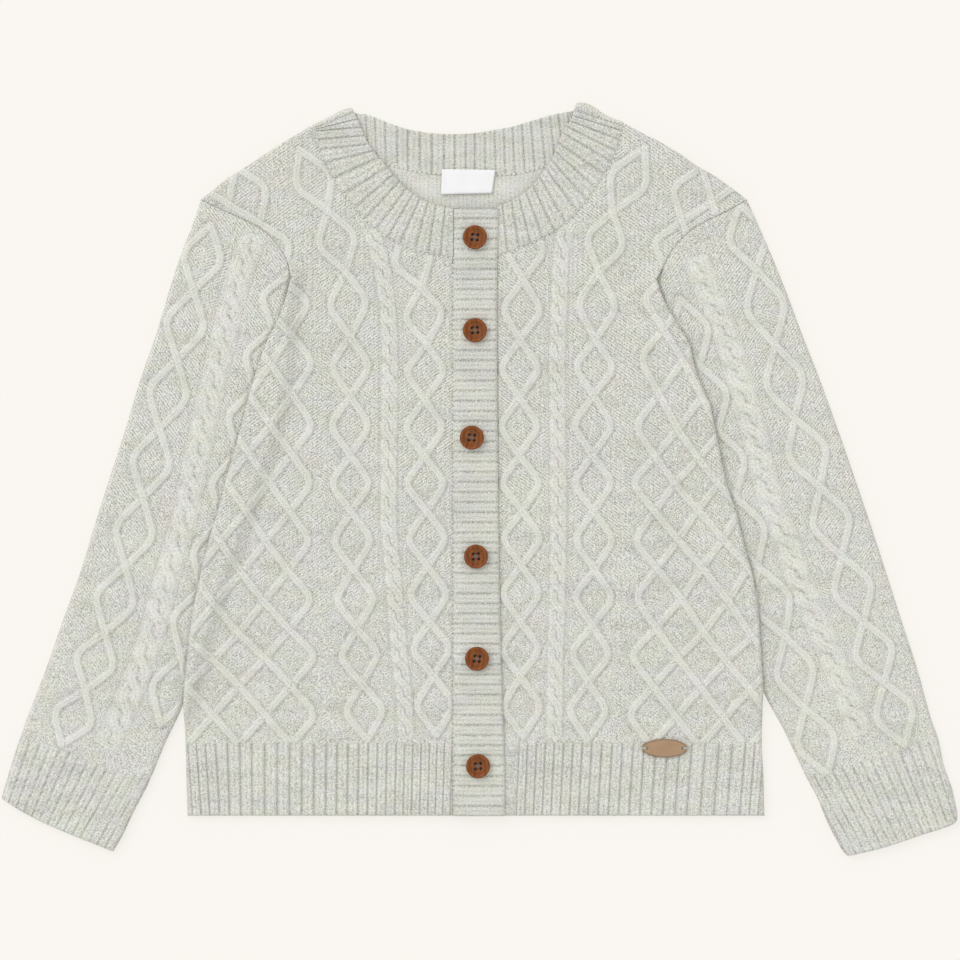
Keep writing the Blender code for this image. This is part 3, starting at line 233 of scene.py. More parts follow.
# Places across a band: from its seam, first, last and count of those between, and from its
# free edge
BAND_RINGS = ((0.0, 0.1, 0.3, 0.6, 1.0), (1.5, 1.4, 9), (1.0, 0.6, 0.3, 0.1, 0.0))
PLACKET_RINGS = ((0.0, 0.1, 0.3, 0.6, 1.0, 1.5, 2.1, 2.8, 3.5), (4.2, 1.6, 9),
                 (1.2, 0.8, 0.5, 0.25, 0.1, 0.0))
BAND_PEAKS = (1.2, 3.0)  # the band bulges by so much at its two folds
BAND_PEAK_AT = (0.78, 0.3)  # across the band: place and width
BAND_FOLDS = 14
BAND_START = 0.4  # the first ring starts at this share of a rib
HEM_SCALLOP = 0.35  # the hem rises by this at each groove
HEM_SCALLOP_SHARE = 0.25
# Lean of the hem ribs over their height: (x, lean)
HEM_LEAN = ((-140, -2.5), (-127, -2.3), (-119, -0.8), (-100, 0.0), (0.0, 1.2), (130, 2.9))

# Noises of the knit, for each metre, and how much each adds to its tone
FUZZ, FUZZ_TONE = 2700.0, (5.2, 2.0)  # on the ground, and how much less on knit stitches
HEATHER, HEATHER_TONE = 430.0, 0.26
PATCHES, PATCHES_TONE = 50.0, 0.5
WARMTH, GREEN, TINT_SPREAD = 85.0, 110.0, 3.2
DRIFT = 34.0  # decides which way the purl rows slant
# Painted shade and highlight of the stitches: purl bumps and knit stitches are coloured light on their
# crests and dark between them
PURL_SHADE = 0.95
STITCH_SHADE = 0.27
# Painted highlight: knit stitches on the raised strands and ribs are coloured lighter than the purl ground
FACE_HIGHLIGHT = 0.14
# Painted shade: how much the hollow attribute darkens the knit's colour in creases, grooves and beside
# raised parts
PAINTED_SHADE_TONE = 0.3
ALONG_YARN = (1.0, 1.7, 1.0)  # how the heather is stretched
ALONG_PATCH = (1.0, 2.8, 1.0)  # and the patches
KNIT_BUMP = 0.00025
COOL_TINT = ((1.0, 0.983, 1.0), (0.978, 1.0, 0.985))  # the yarn varies between these two
SLEEVE_TURN = 0.45  # the yarn of a sleeve runs at this angle
SLEEVE_LIGHT = 0.03
WHITE = (1.0, 1.0, 1.0)

# The trims' noises: those of the wood for each millimetre of its grain
GRAIN_STRETCH, STREAKS, PORES, WOOD_BUMP = 0.16, 1.1, 7.0, 0.00006
THREAD_TWIST, THREAD_DARK, THREAD_BUMP = 2600.0, 0.6, 0.0001
WEFT, WARP = 0.32, 0.4  # pitch of the label's threads
LABEL_SOIL, LABEL_DARK, LABEL_BUMP = 240.0, 0.92, 0.00008
LEATHER_PORES, LEATHER_CLOUD, LEATHER_BUMP = 1500.0, 190.0, 0.00012

# Stage, in metres and degrees
FLOOR_SIZE = 6.0
FLOOR_GAP = 0.0003  # the floor lies this far below the cardigan
FLOOR_GLOW = 0.75  # share of its tone that the floor gives off by itself
KEY_PLACE = (-1.0, 1.0, 2.0)
KEY_TURN = (-30.0, -34.0, 0.0)
KEY_SPREAD = 40.0
CAMERA_PLACE = (0.0002, 0.0009, 0.004)  # the height is counted from the camera height
SENSOR = 36.0  # millimetres

# Outlines, one point (x, y) per row
SHOULDER_L = ((-80.3, 334.7), (-87.5, 330.5), (-101, 322), (-110, 316), (-119, 310.5),
    (-127, 304.5), (-133.5, 299))
SHOULDER_R = ((72.8, 335.8), (80.5, 331.5), (87.5, 328), (98, 322), (106.5, 316), (116, 310.5),
    (124.5, 304.5), (131.5, 299))
ARMHOLE_L = ((-133.5, 299), (-123, 294), (-112, 289), (-103, 284), (-96, 277),
    (-91.5, 269), (-89.5, 261))
ARMHOLE_R = ((131.5, 299), (122, 293.5), (111.5, 288.5), (103, 283), (96, 275.5), (91, 267),
    (87.5, 260))
# Sides of the body, which lie over the sleeves as far down as they touch
UNDERARM_L = ((-89.5, 261), (-92.5, 250.5), (-96.5, 239.5), (-102, 228.5), (-106.5, 215.5),
    (-110.5, 202), (-115.5, 182.5))
UNDERARM_R = ((87.5, 260), (91, 250.5), (97, 239.5), (103, 230), (105.5, 220), (108.5, 210.5),
    (113.5, 200))
SIDE_L = ((-115.5, 182.5), (-120.5, 165.5), (-125, 148.5), (-130, 131.5), (-134, 114.5),
    (-137.5, 97.5), (-139.5, 80.5), (-141, 66), (-141.8, 53.5), (-141, 37), (-140.5, 17.5),
    (-140, 0))
SIDE_R = ((113.5, 200), (115.5, 189.5), (117.5, 180), (121, 163), (126.5, 146), (130, 131.5),
    (134, 117), (136.5, 102.5), (137.5, 88), (138.5, 73), (139.2, 59.5), (138.7, 36),
    (139.5, 19.5), (140, 0))
TUCK_END_L = 52.0  # Y where the inner fold of a sleeve comes out from under the body
TUCK_END_R = 58.5
SLEEVE_OUTER_L = ((-133.5, 299), (-137.5, 287), (-142, 275.5), (-148, 258), (-155, 234.5),
    (-163, 211.5), (-170, 188), (-177.5, 165), (-185, 141.5), (-192, 118.5), (-200.5, 95),
    (-208.5, 72), (-217.5, 48.5), (-221.5, 37), (-225.5, 25), (-230.3, 8.5))
SLEEVE_OUTER_R = ((131.5, 299), (137, 287), (144.5, 269.5), (151.5, 252), (158, 234.5),
    (167, 211.5), (175.5, 188), (183.5, 165), (191.5, 141.5), (199, 118.5), (206.5, 95),
    (214, 72), (220.5, 48.5), (224.5, 37), (227, 25), (231, 13.5), (233.8, 1))
SLEEVE_INNER_L = ((-89.5, 261), (-92, 250.5), (-92.5, 239.5), (-93.7, 228.5), (-95.2, 215.5),
    (-97.5, 202), (-102, 182.5), (-107.5, 165.5), (-113, 148.5), (-119.5, 131.5), (-125.3, 114.5),
    (-131, 97.5), (-135.5, 80.5), (-139.2, 66), (-142.5, 53), (-150, 37), (-155, 25),
    (-160, 13.5), (-166, 2), (-171.5, -9.5), (-176, -17.3))
SLEEVE_INNER_R = ((87.5, 260), (90.5, 250.5), (92.5, 239.5), (94, 230), (95, 220),
    (96.5, 210.5), (98.5, 200), (101, 189.5), (104, 180), (109, 163), (115, 146),
    (120, 131.5), (125, 117), (129, 102.5), (132.5, 88), (136, 73), (139.8, 59.5),
    (149, 42.5), (154.5, 31), (160, 19.5), (166, 8), (171, -4), (177, -15.5),
    (180.5, -19.5))
CUFF_EDGE_L = ((-230.3, 8.5), (-221.5, 2.8), (-209.5, -3.5), (-195.5, -9.5), (-176, -17.3))
CUFF_EDGE_R = ((233.8, 1), (231.5, -4), (215.5, -9.5), (197.5, -15.5), (180.5, -19.5))
CUFF_TOP_L = ((-221, 38), (-202, 33), (-182.5, 24.5), (-168, 20), (-155.5, 24.5))
CUFF_TOP_R = ((224, 38), (201, 29.5), (181.5, 25.5), (170, 20), (159, 21.5))
NECK_SEAM_L = ((-79, 333.3), (-76.5, 324.5), (-72, 314.5), (-66, 304.5), (-59, 295.5),
    (-51.5, 287), (-42.5, 280.5), (-33, 275.5), (-22.5, 272.5), (-11.03, 270.5))
NECK_SEAM_R = ((71.5, 334.5), (68.5, 323), (63.5, 313.5), (57.5, 303.5), (50.5, 294), (40.5, 285),
    (31, 279.5), (21.5, 275.5), (10, 271.3))
NECK_FREE_L = ((-59, 341.2), (-56.5, 336), (-54, 330), (-50, 323), (-43.5, 315.5),
    (-37.5, 308), (-30.5, 302), (-22.5, 297.5), (-11.03, 294.5))
NECK_FREE_R = ((47.5, 342.3), (46, 338), (41.5, 330.5), (37.5, 320.5), (32.5, 312.5), (26, 304.5),
    (19, 299.5), (10, 295.3))
BACK_SEAM = ((-79, 333.3), (-67, 327), (-55, 321), (-42.5, 316), (-27, 312.5),
    (-16.5, 311.5), (-0.5, 311), (11.5, 311), (21.5, 312), (33.5, 315), (47, 320),
    (60, 327.5), (71.5, 334.5))
BACK_FREE = ((-59, 341.2), (-52.5, 340.3), (-45, 337.5), (-37, 334.5), (-31.5, 333),
    (-22, 331.5), (-11, 331), (-0.5, 331.5), (8.5, 333), (17, 334.5), (27.5, 337.5),
    (37.5, 340.5), (47.5, 342.3))
# Grooves of the neckband's ribs, from the placket to each neck point: (x, y at the seam,
# x, y at the free edge), and on the back (x at the seam, x at the free edge)
BAND_GROOVES_L = ((-17, 272.2, -15, 295.3), (-23, 273.6, -19.4, 296.4),
    (-29.3, 275.7, -23.4, 297.6), (-35.9, 279.4, -27.6, 299), (-41.4, 282.7, -30.8, 301.2),
    (-46.9, 286.6, -33.9, 304.2), (-52.4, 291, -37.3, 307.6), (-57.5, 295.8, -40.3, 311),
    (-63.5, 302.2, -42.9, 314.4), (-68.9, 309.4, -46.9, 319.7), (-74.7, 316.2, -49.7, 322.7),
    (-77.2, 322.8, -51.6, 326), (-78.5, 327.8, -54, 330), (-78.9, 332.2, -55.7, 334),
    (-79, 332.8, -57.5, 338))
BAND_GROOVES_R = ((15.3, 273.3, 12.9, 296), (20.9, 275.5, 17.5, 298.4), (26.4, 278.2, 20.9, 300.3),
    (32, 281.3, 24.2, 303), (37.6, 284.7, 27.6, 306), (42.7, 288.6, 31, 310),
    (48.7, 293.8, 34, 314), (53, 299.2, 36.5, 318.5), (57.2, 305.1, 38.4, 322.5),
    (61.6, 311.4, 40.2, 326.5), (64.8, 317.7, 42.2, 331.5), (67.5, 322.6, 43.8, 334.5),
    (69.7, 327.9, 45.6, 337.2), (71, 332.4, 46.7, 339.8))
BAND_GROOVES_BACK = ((-74.5, -58.97), (-70, -58.9), (-65.5, -58.85), (-61.5, -58.8), (-57.2, -58.7),
    (-52.4, -53.4), (-48.3, -49), (-43.6, -44.1), (-38.1, -38.3), (-33, -33), (-27.2, -27.2),
    (-21.3, -21.3), (-15.5, -15.5), (-10.2, -10.2), (-4.8, -4.8), (-0.5, -0.5), (4.6, 4.4), (9.7, 9.2),
    (14.3, 13.6), (18.9, 17.9), (23.8, 22.3), (28.6, 26.7), (33.9, 31.5), (38.8, 35.9), (43.2, 39.8),
    (48, 44.6), (52.5, 45.4), (57, 46), (61.5, 46.6), (66, 47.1))
# Free edge of the top placket, and with it the seam of the front beneath
PLACKET_EDGE = ((11, 294.5), (10.2, 250), (10.6, 180), (11.6, 105), (13.2, 50), (14, 25),
    (14, 0))

# Hem ribs: (groove number, x)
HEM_GROOVES_L = ((0, -12.6), (3, -23.3), (7, -39.3), (11, -57.2), (14, -72.8), (17, -90.3), (20, -108.3),
    (22, -119.4), (24, -128.9), (26, -137.4))
HEM_GROOVES_R = ((0, 19.4), (4, 36.4), (8, 54.3), (11, 69.1), (13, 79.5), (15, 90.7), (17, 102.3),
    (19, 115.4), (21, 128), (23, 137))

# Points where the two strands of a ladder of diamonds cross
LADDER_1L = ((-19, 39.5), (-20.5, 68), (-22.5, 94), (-23.5, 121), (-24, 148), (-25, 174.5),
    (-25, 202), (-24, 229), (-26.5, 256.5), (-35, 283))
LADDER_2L = ((-52.5, 37), (-55.5, 64.5), (-57.5, 91), (-59.5, 119.5), (-60.5, 147.5), (-61, 175),
    (-61, 203.5), (-61, 232.5), (-63, 264), (-72, 294), (-85.5, 323))
LADDER_1R = ((23, 38.5), (21.5, 67.5), (21.5, 94.5), (22, 121.5), (22.5, 148), (21, 175),
    (21, 203), (21.5, 231), (23, 260), (24.5, 289))
LADDER_2R = ((54, 37), (54.5, 65), (56.5, 92.5), (57.5, 119.5), (57, 148), (56.5, 175),
    (57, 204), (58, 231), (59.5, 264), (66, 293), (82, 324))
OUTER_LADDER_L = ((-128.5, 286.5), (-137, 255), (-145, 221.5), (-153.5, 188), (-161.5, 154.5),
    (-170, 121), (-180, 89), (-189.5, 61), (-201, 34.5))
OUTER_LADDER_R = ((128, 296.5), (136, 265), (145, 228.5), (154.5, 193), (167, 159.5),
    (177.5, 126), (188, 94), (198, 65), (208, 34.5))
INNER_LADDER_L = ((-90.5, 263), (-98.3, 236), (-107, 207), (-114.8, 176), (-123, 143),
    (-132.8, 110), (-143, 77.5), (-153, 44.5))
INNER_LADDER_R = ((99, 250.5), (108.5, 218.5), (117, 187), (125.5, 154.5), (136.5, 121),
    (150, 87), (159.5, 52.5), (170.5, 20))
# Points where the lattice turns back at its edge towards the front
LATTICE_L = ((-77.1, 49), (-77.1, 77.5), (-79.1, 105.2), (-80, 133.4), (-79.5, 161.5), (-78.6, 189.2),
    (-78.6, 219.7), (-80.5, 249.5), (-89.5, 278), (-101, 305))
LATTICE_R = ((73.7, 49), (74.7, 78), (77.1, 106.2), (76.6, 133.4), (75.7, 161.5), (77.1, 188.7),
    (79.5, 222.1), (81, 251.2), (85.5, 278.5), (95, 305))
# Half a diamond of the lattice across: (y, width)
LATTICE_COLUMN_L = ((85, 12.6), (150, 10.4))
LATTICE_COLUMN_R = ((85, 11.7), (150, 10.4))
# Centre lines of the rope cables
ROPE_L = ((-33.8, 37), (-34.8, 56.5), (-37.3, 80.5), (-39.3, 105), (-40.8, 124), (-42.3, 143.5),
    (-42.3, 172.5), (-41.8, 228.5), (-43.3, 250.5), (-46.3, 269.5), (-51.3, 285))
ROPE_R = ((38, 37), (38.5, 75.5), (39.5, 105), (40, 153.5), (39.5, 202), (39.5, 226),
    (40.5, 250.5), (41.5, 274.5), (44.5, 286.5))
SLEEVE_ROPE_L = ((-107, 282), (-110.6, 273.5), (-115.2, 260.5), (-119, 247), (-123, 228.5),
    (-130.5, 197), (-136, 170), (-141.5, 143.5), (-149.5, 117), (-155, 95), (-160.5, 78),
    (-167, 61), (-175, 42.5), (-180, 33))
SLEEVE_ROPE_R = ((106.5, 271.5), (110.5, 260.5), (115, 249.5), (119.3, 239), (123.6, 226),
    (127.7, 211.5), (134.1, 189.5), (138.5, 170), (143.9, 151), (151.3, 131.5), (157.7, 112),
    (165.1, 95), (172.5, 78), (179.8, 58.5), (186.5, 39.5))


# Paths ------------

def unit(vectors):
    return vectors / np.linalg.norm(vectors, axis=1)[:, None]


def travelled(path):
    return np.concatenate([[0.0], np.cumsum(np.linalg.norm(np.diff(path, axis=0), axis=1))])


def at_lengths(path, where):
    lengths = travelled(path)
    return np.stack([np.interp(where, lengths, axis) for axis in path.T], 1)


def even(path, spacing):
    lengths = travelled(path)
    count = max(1, round(lengths[-1] / spacing))
    return at_lengths(path, np.linspace(0.0, lengths[-1], count + 1))


def smooth(table, spacing):
    """Points about `spacing` apart on the smooth curve through a table."""
    points = np.array(table, float)
    ends = np.vstack([2 * points[0] - points[1], points, 2 * points[-1] - points[-2]])
    fine = []
    for a, b, c, d in zip(ends, ends[1:], ends[2:], ends[3:]):
        for t in np.arange(0.0, 1.0, CURVE_STEP):
            fine.append(0.5 * (2 * b + (c - a) * t + (2 * a - 5 * b + 4 * c - d) * t ** 2
                               + (3 * b - a - 3 * c + d) * t ** 3))
    fine.append(points[-1])
    return even(np.array(fine), spacing)


def beside(path, distance):
    """The path moved to its left by a distance, with mitred corners."""
    path = np.array(path, float)
    along = unit(np.diff(path, axis=0))
    normal = np.stack([-along[:, 1], along[:, 0]], 1)
    middle = normal[:-1] + normal[1:]
    middle *= 2.0 / np.maximum((middle ** 2).sum(1), 0.5)[:, None]
    return path + distance * np.vstack([normal[:1], middle, normal[-1:]])


def seam_side(path, towards, gap=SHUT):
    """The path moved a little towards a point."""
    path = np.array(path)
    left, right = beside(path, gap), beside(path, -gap)
    middle = len(path) // 2
    nearer = np.linalg.norm(left[middle] - towards) < np.linalg.norm(right[middle] - towards)
    return left if nearer else right


def joined(*paths):
    """One path from several that follow each other, shared ends kept once."""
    points = []
    for path in paths:
        for point in path:
            if not points or math.dist(points[-1], point) > SAME:
                points.append((float(point[0]), float(point[1])))
    return np.array(points)


def closed_outline(*paths):
    """A closed outline that runs anticlockwise."""
    outline = joined(*paths)
    if math.dist(outline[0], outline[-1]) < SAME:
        outline = outline[:-1]
    x, y = outline.T
    area = (x * np.roll(y, -1) - np.roll(x, -1) * y).sum()
    return outline if area > 0 else outline[::-1]


def looped(outline):
    return np.vstack([outline, outline[:1]])


def rounded(path, corners):
    """The path with some of its corners, given by number, turned into small curves."""
    points = []
    for number, point in enumerate(path):
        if number not in corners or number in (0, len(path) - 1):
            points.append(point)
            continue
        first = point + (path[number - 1] - point) * CORNER
        last = point + (path[number + 1] - point) * CORNER
        for t in np.linspace(0.0, 1.0, 6):
            points.append((1 - t) ** 2 * first + 2 * t * (1 - t) * point + t ** 2 * last)
    return np.array(points)


def inside(points, outline):
    order = np.argsort(points[:, 1], kind="stable")
    x, y = points[order].T
    passed = np.zeros(len(points), int)
    for (x1, y1), (x2, y2) in zip(outline, np.roll(outline, -1, axis=0)):
        first, last = np.searchsorted(y, (min(y1, y2), max(y1, y2)))
        if last > first:
            at = x1 + (y[first:last] - y1) * (x2 - x1) / (y2 - y1)
            passed[first:last] += x[first:last] < at
    result = np.empty(len(points), bool)
    result[order] = passed % 2 == 1
    return result


def near_paths(points, paths, reach):
    """For each piece of the paths: the points within reach of it, how far they lie from it,
    on which side, how far along the path, and the piece's own direction."""
    order = np.argsort(points[:, 1], kind="stable")
    rows = points[order, 1]
    for path in paths:
        for start, stop, before in zip(path[:-1], path[1:], travelled(path)):
            low, high = np.minimum(start, stop) - reach, np.maximum(start, stop) + reach
            first, last = np.searchsorted(rows, (low[1], high[1]))
            which = order[first:last]
            x = points[which, 0]
            which = which[(x > low[0]) & (x < high[0])]
            run = stop - start
            length = math.hypot(*run)
            if not len(which) or length < 1e-6:
                continue
            offset = points[which] - start
            share = np.clip(offset @ run / length ** 2, 0.0, 1.0)
            gap = np.linalg.norm(offset - share[:, None] * run, axis=1)
            side = np.sign(run[0] * offset[:, 1] - run[1] * offset[:, 0])
            yield which, gap, side, before + share * length, run / length


def distance(points, paths, reach=EDGE_REACH):
    """Distance from each point to the nearest of the paths, as far as the reach."""
    nearest = np.full(len(points), float(reach))
    for which, gap, _, _, _ in near_paths(points, paths, reach):
        nearest[which] = np.minimum(nearest[which], gap)
    return nearest


def places_on(points, path, reach):
    """How far along a path each point lies and how far to its left, within reach."""
    nearest = np.full(len(points), float(reach))
    along, aside = np.zeros(len(points)), np.full(len(points), float(reach))
    for which, gap, side, where, _ in near_paths(points, [path], reach):
        better = gap < nearest[which]
        chosen = which[better]
        nearest[chosen] = gap[better]
        along[chosen], aside[chosen] = where[better], (gap * side)[better]
    return along, aside


def smoothstep(values, low, high):
    t = np.clip((values - low) / (high - low), 0.0, 1.0)
    return t * t * (3.0 - 2.0 * t)


def below_round(gap, radius):
    """How far a rounded edge lies below the flat at a distance from the edge."""
    return radius * (1.0 - np.sqrt(1.0 - (1.0 - np.clip(gap / radius, 0.0, 1.0)) ** 2))


# Pattern lines ------------

def ladder(crossings, half):
    """Two strands that swing apart and cross at each point of the table."""
    crossings = np.array(crossings)
    along = unit(np.gradient(crossings, axis=0))
    aside = np.stack([-along[:, 1], along[:, 0]], 1)
    middle = (crossings[:-1] + crossings[1:]) / 2
    swing = half * unit(aside[:-1] + aside[1:])
    strands = []
    for side in (1, -1):
        path = []
        for i, point in enumerate(crossings[:-1]):
            sign = side if i % 2 == 0 else -side
            path += [point, middle[i] + sign * swing[i]]
        path = path + [crossings[-1]]
        strands.append(rounded(path, set(range(1, len(path), 2))))
    return strands


def ladders(tables, half):
    """Strands of several ladders, and the points where they cross."""
    strands = [strand for table in tables for strand in ladder(table, half)]
    return strands, [np.array(point) for table in tables for point in table]


def lattice(turns, outward, widths, columns):
    """Strands of a field of diamonds that turns back at the table's points, and its crossings."""
    turns = np.array(turns)
    before = [turns[0] - k * (turns[1] - turns[0]) for k in range(columns, 0, -1)]
    after = [turns[-1] + k * (turns[-1] - turns[-2]) for k in range(1, columns + 1)]
    axis = np.vstack([before, turns, after])
    rows = np.empty((2 * len(axis) - 1, 2))
    rows[::2] = axis
    rows[1::2] = (axis[:-1] + axis[1:]) / 2
    along = unit(np.gradient(rows, axis=0))
    width = np.interp(rows[:, 1], *np.array(widths).T)
    aside = outward * np.stack([along[:, 1], -along[:, 0]], 1) * width[:, None]
    strands, crossings = [], []
    for row in range(0, len(rows), 2):
        arms = []
        for step in (-1, 1):
            reach = (row + step * k for k in range(2 * columns))
            reach = [r for r in reach if 0 <= r < len(rows)]
            arms.append([rows[r] + aside[r] * k for k, r in enumerate(reach)])
        strands.append(rounded(arms[0][:0:-1] + arms[1], {len(arms[0]) - 1}))
        crossings += arms[1][1:]
    return strands, crossings


# Form of the body ------------

def body_edges(spacing):
    """Shoulder, armhole, side over the sleeve and side below it, of both sides."""
    left = [smooth(table, spacing) for table in (SHOULDER_L, ARMHOLE_L, UNDERARM_L, SIDE_L)]
    right = [smooth(table, spacing) for table in (SHOULDER_R, ARMHOLE_R, UNDERARM_R, SIDE_R)]
    return left, right


def body_lift(points):
    """How far the body is lifted by the sleeves that lie beneath its sides."""
    away = np.full(len(points), 2 * LIFT_REACH)
    left, right = body_edges(COARSE_STEP)
    for edges, table, end in ((left, SLEEVE_INNER_L, TUCK_END_L), (right, SLEEVE_INNER_R, TUCK_END_R)):
        edge, fold = joined(edges[2], edges[3]), smooth(table, COARSE_STEP)
        edge, fold = edge[edge[:, 1] > end], fold[fold[:, 1] > end]
        beneath = inside(points, np.vstack([edge, fold[::-1]]))
        outside = distance(points, [edge, fold], 2 * LIFT_REACH)
        away = np.minimum(away, np.where(beneath, 0.0, outside))
    return BODY_LIFT * (1.0 - smoothstep(away, LIFT_FLAT, LIFT_REACH))


def hem_grooves(knots):
    """X of each groove of the hem ribs."""
    numbers, places = np.array(knots).T
    count = np.arange(0.0, numbers[-1] + 1.0)
    return np.interp(count, numbers, places)


# Cloth ------------

class Cloth:
    """What the knit is like at each point of a panel.

    height: of the pattern above the ground, mm; face: 1 on knit stitches and 0 on the purl
    ground; hollow: painted shade, darkest in creases; yarn: place across and along its column of
    stitches; ground: place across and along the panel's own stitches.
    """

    def __init__(self, points, axis=(0.0, 1.0)):
        count = len(points)
        self.points = points
        self.axis = np.array(axis) / math.hypot(*axis)
        self.height = np.zeros(count)
        self.face = np.zeros(count)
        self.hollow = np.zeros(count)
        self.yarn = np.zeros((count, 2))
        across = points @ np.array((self.axis[1], -self.axis[0]))
        self.ground = np.stack([across, points @ self.axis], 1)

    def blended(self, other, share):
        """This cloth where the share is 0 and the other where it is 1."""
        result = Cloth(self.points, self.axis)
        for name in ("height", "face", "hollow"):
            setattr(result, name, getattr(self, name) * (1 - share) + getattr(other, name) * share)
        result.yarn = np.where(share[:, None] > 0.5, other.yarn, self.yarn)
        return result


def cable_cloth(points, axis, strands, crossings, rope, knit):
    """The ground with travelling strands and a rope cable, given by its table and sizes."""
    cloth = Cloth(points, axis)
    half, rise = knit.strand_half / MM, knit.strand_rise / MM
    to_crossing = np.full(len(points), FAR)
    for corner in crossings:
        near = np.nonzero(np.abs(points - corner).max(1) < CROSS_NEAR)[0]
        gap = np.linalg.norm(points[near] - corner, axis=1)
        to_crossing[near] = np.minimum(to_crossing[near], gap)
    dip = CROSS_DIP * np.exp(-(to_crossing / CROSS_REACH) ** 2)
    gap = np.full(len(points), FAR)
    best = np.zeros(len(points))
    under = np.zeros(len(points))
    for which, away, side, along, run in near_paths(points, strands, STRAND_REACH):
        upward = run if run @ cloth.axis > 0 else -run
        over = cloth.axis[0] * upward[1] - cloth.axis[1] * upward[0] > 0
        share = 1.0 - smoothstep(away, half - STRAND_SIDE[0], half + STRAND_SIDE[1])
        value = share * (rise + CROSS_RISE * dip[which] if over else rise * (1.0 - dip[which]))
        take = (value > best[which]) | ((best[which] <= 0.0) & (away < gap[which]))
        chosen = which[take]
        cloth.yarn[chosen] = np.stack([away * side, along], 1)[take]
        under[chosen] = (0.0 if over else 1.0) * dip[chosen]
        cloth.face[chosen] = share[take]
        best[which] = np.maximum(best[which], value)
        gap[which] = np.minimum(gap[which], away)
    outside = gap - half
    # Painted shade on the ground beside each strand, deeper near a crossing, and on a strand where it
    # passes beneath another
    depth = STRAND_SHADE[2] + CROSS_SHADE[1] * np.exp(-(to_crossing / CROSS_SHADE[0]) ** 2)
    shade = np.exp(-((outside - STRAND_SHADE[0]) / STRAND_SHADE[1]) ** 2) * depth
    cloth.hollow = np.maximum(shade * (1 - cloth.face), CROSS_SHADE[2] * under)
    ground = (PILLOW[1] * smoothstep(gap, half, half + PILLOW[0])
              - GUTTER[2] * np.exp(-((outside - GUTTER[0]) / GUTTER[1]) ** 2))
    add_rope(cloth, ground, best, *rope, knit)
    cloth.height = np.maximum(ground * (best < 0.02) + best, ground)
    return cloth


def add_rope(cloth, ground, best, table, sizes, knit):
    """A rope of two strands, each in turn passing over the other; the ground sinks beside it."""
    pitch, swing, width = sizes
    path = smooth(table, 1.5)
    lobes = max(1, round(travelled(path)[-1] / pitch))
    pitch = travelled(path)[-1] / lobes
    if path[0][1] > path[-1][1]:
        path = path[::-1]
    reach = swing + width + ROPE_REACH
    along, aside = places_on(cloth.points, path, reach)
    near = np.abs(aside) < reach
    where = along / pitch
    ends = smoothstep(np.minimum(where, lobes - where), 0.0, ROPE_END)
    second = np.zeros(len(along))
    for step in (-1, 0, 1):
        place = where - (np.floor(where + 0.5) + step)
        centre = swing * np.sin(math.pi * np.clip(place, -0.75, 0.75))
        slope = swing * math.pi / pitch * np.cos(math.pi * place)
        across = (aside - centre) / np.sqrt(1.0 + slope ** 2)
        body = np.sqrt(np.clip(1.0 - (across / width) ** 2, 0.0, 1.0))
        bow = np.cos(math.pi / 2 * np.clip(place / ROPE_LOBE, -1.0, 1.0)) ** 0.8
        lobe = (ROPE_LOW + (1.0 - ROPE_LOW) * bow) * (bow > 0.0)
        value = knit.rope_rise / MM * body * lobe * ends
        second = np.maximum(second, np.minimum(value, best))
        take = near & (value > best)
        best[take] = value[take]
        cloth.yarn[take] = np.stack([across, along], 1)[take]
        cloth.face[take] = 1.0
        # Painted shade towards the sides and the ends of each lobe
        shade = ROPE_SHADE[0] * (1 - body) ** 1.5 + ROPE_SHADE[1] * (1 - bow) ** 2
        cloth.hollow[take] = shade[take]
    crease = np.exp(-((best - second) / CREASE_SHADE[0]) ** 2)
    crease = near * crease * smoothstep(second, 0.1, 0.3)
    best -= ROPE_CREASE * crease
    edge = np.abs(aside) - swing - width
    side = np.exp(-((edge - ROPE_SIDE[0]) / ROPE_SIDE[1]) ** 2) * near * ends * (best < 0.25)
    ground -= ROPE_CREASE * side
    # Painted shade in the crease between the two strands and on the ground beside the rope
    darkest_shade = np.maximum(ROPE_SIDE[2] * side, CREASE_SHADE[1] * crease)
    cloth.hollow = np.maximum(cloth.hollow, darkest_shade)


def rib_height(share, rise):
    """A rib across its share from one groove to the next: a wide flat crest."""
    return rise * smoothstep(np.minimum(share, 1.0 - share), 0.0, RIB_SIDE)


def hem_cloth(points, grooves, knit):
    cloth = Cloth(points)
    lean = np.interp(points[:, 0], *np.array(HEM_LEAN).T) * points[:, 1] / HEM_RIB
    numbers = np.arange(len(grooves))
    count = np.interp(points[:, 0] - lean, grooves, numbers, -0.5, len(grooves) - 0.5)
    share = count - np.floor(count)
    pitch = np.interp(points[:, 0], (grooves[1:] + grooves[:-1]) / 2, np.diff(grooves))
    ribs(cloth, share, pitch, points[:, 1], knit)
    return cloth


def rib_shade(share, face, groove):
    """How much of knit stitches and of shade there is across a rib's share."""
    side = np.minimum(share, 1.0 - share)
    deep, less, width = groove
    return smoothstep(side, *face), deep - less * smoothstep(side, 0.0, width)


def ribs(cloth, share, pitch, along, knit):
    cloth.height = rib_height(share, knit.rib_rise / MM)
    # The hollow is painted shade in the grooves between the ribs
    cloth.face, cloth.hollow = rib_shade(share, RIB_FACE, RIB_GROOVE)
    cloth.yarn = np.stack([(share - 0.5) * pitch, along], 1)


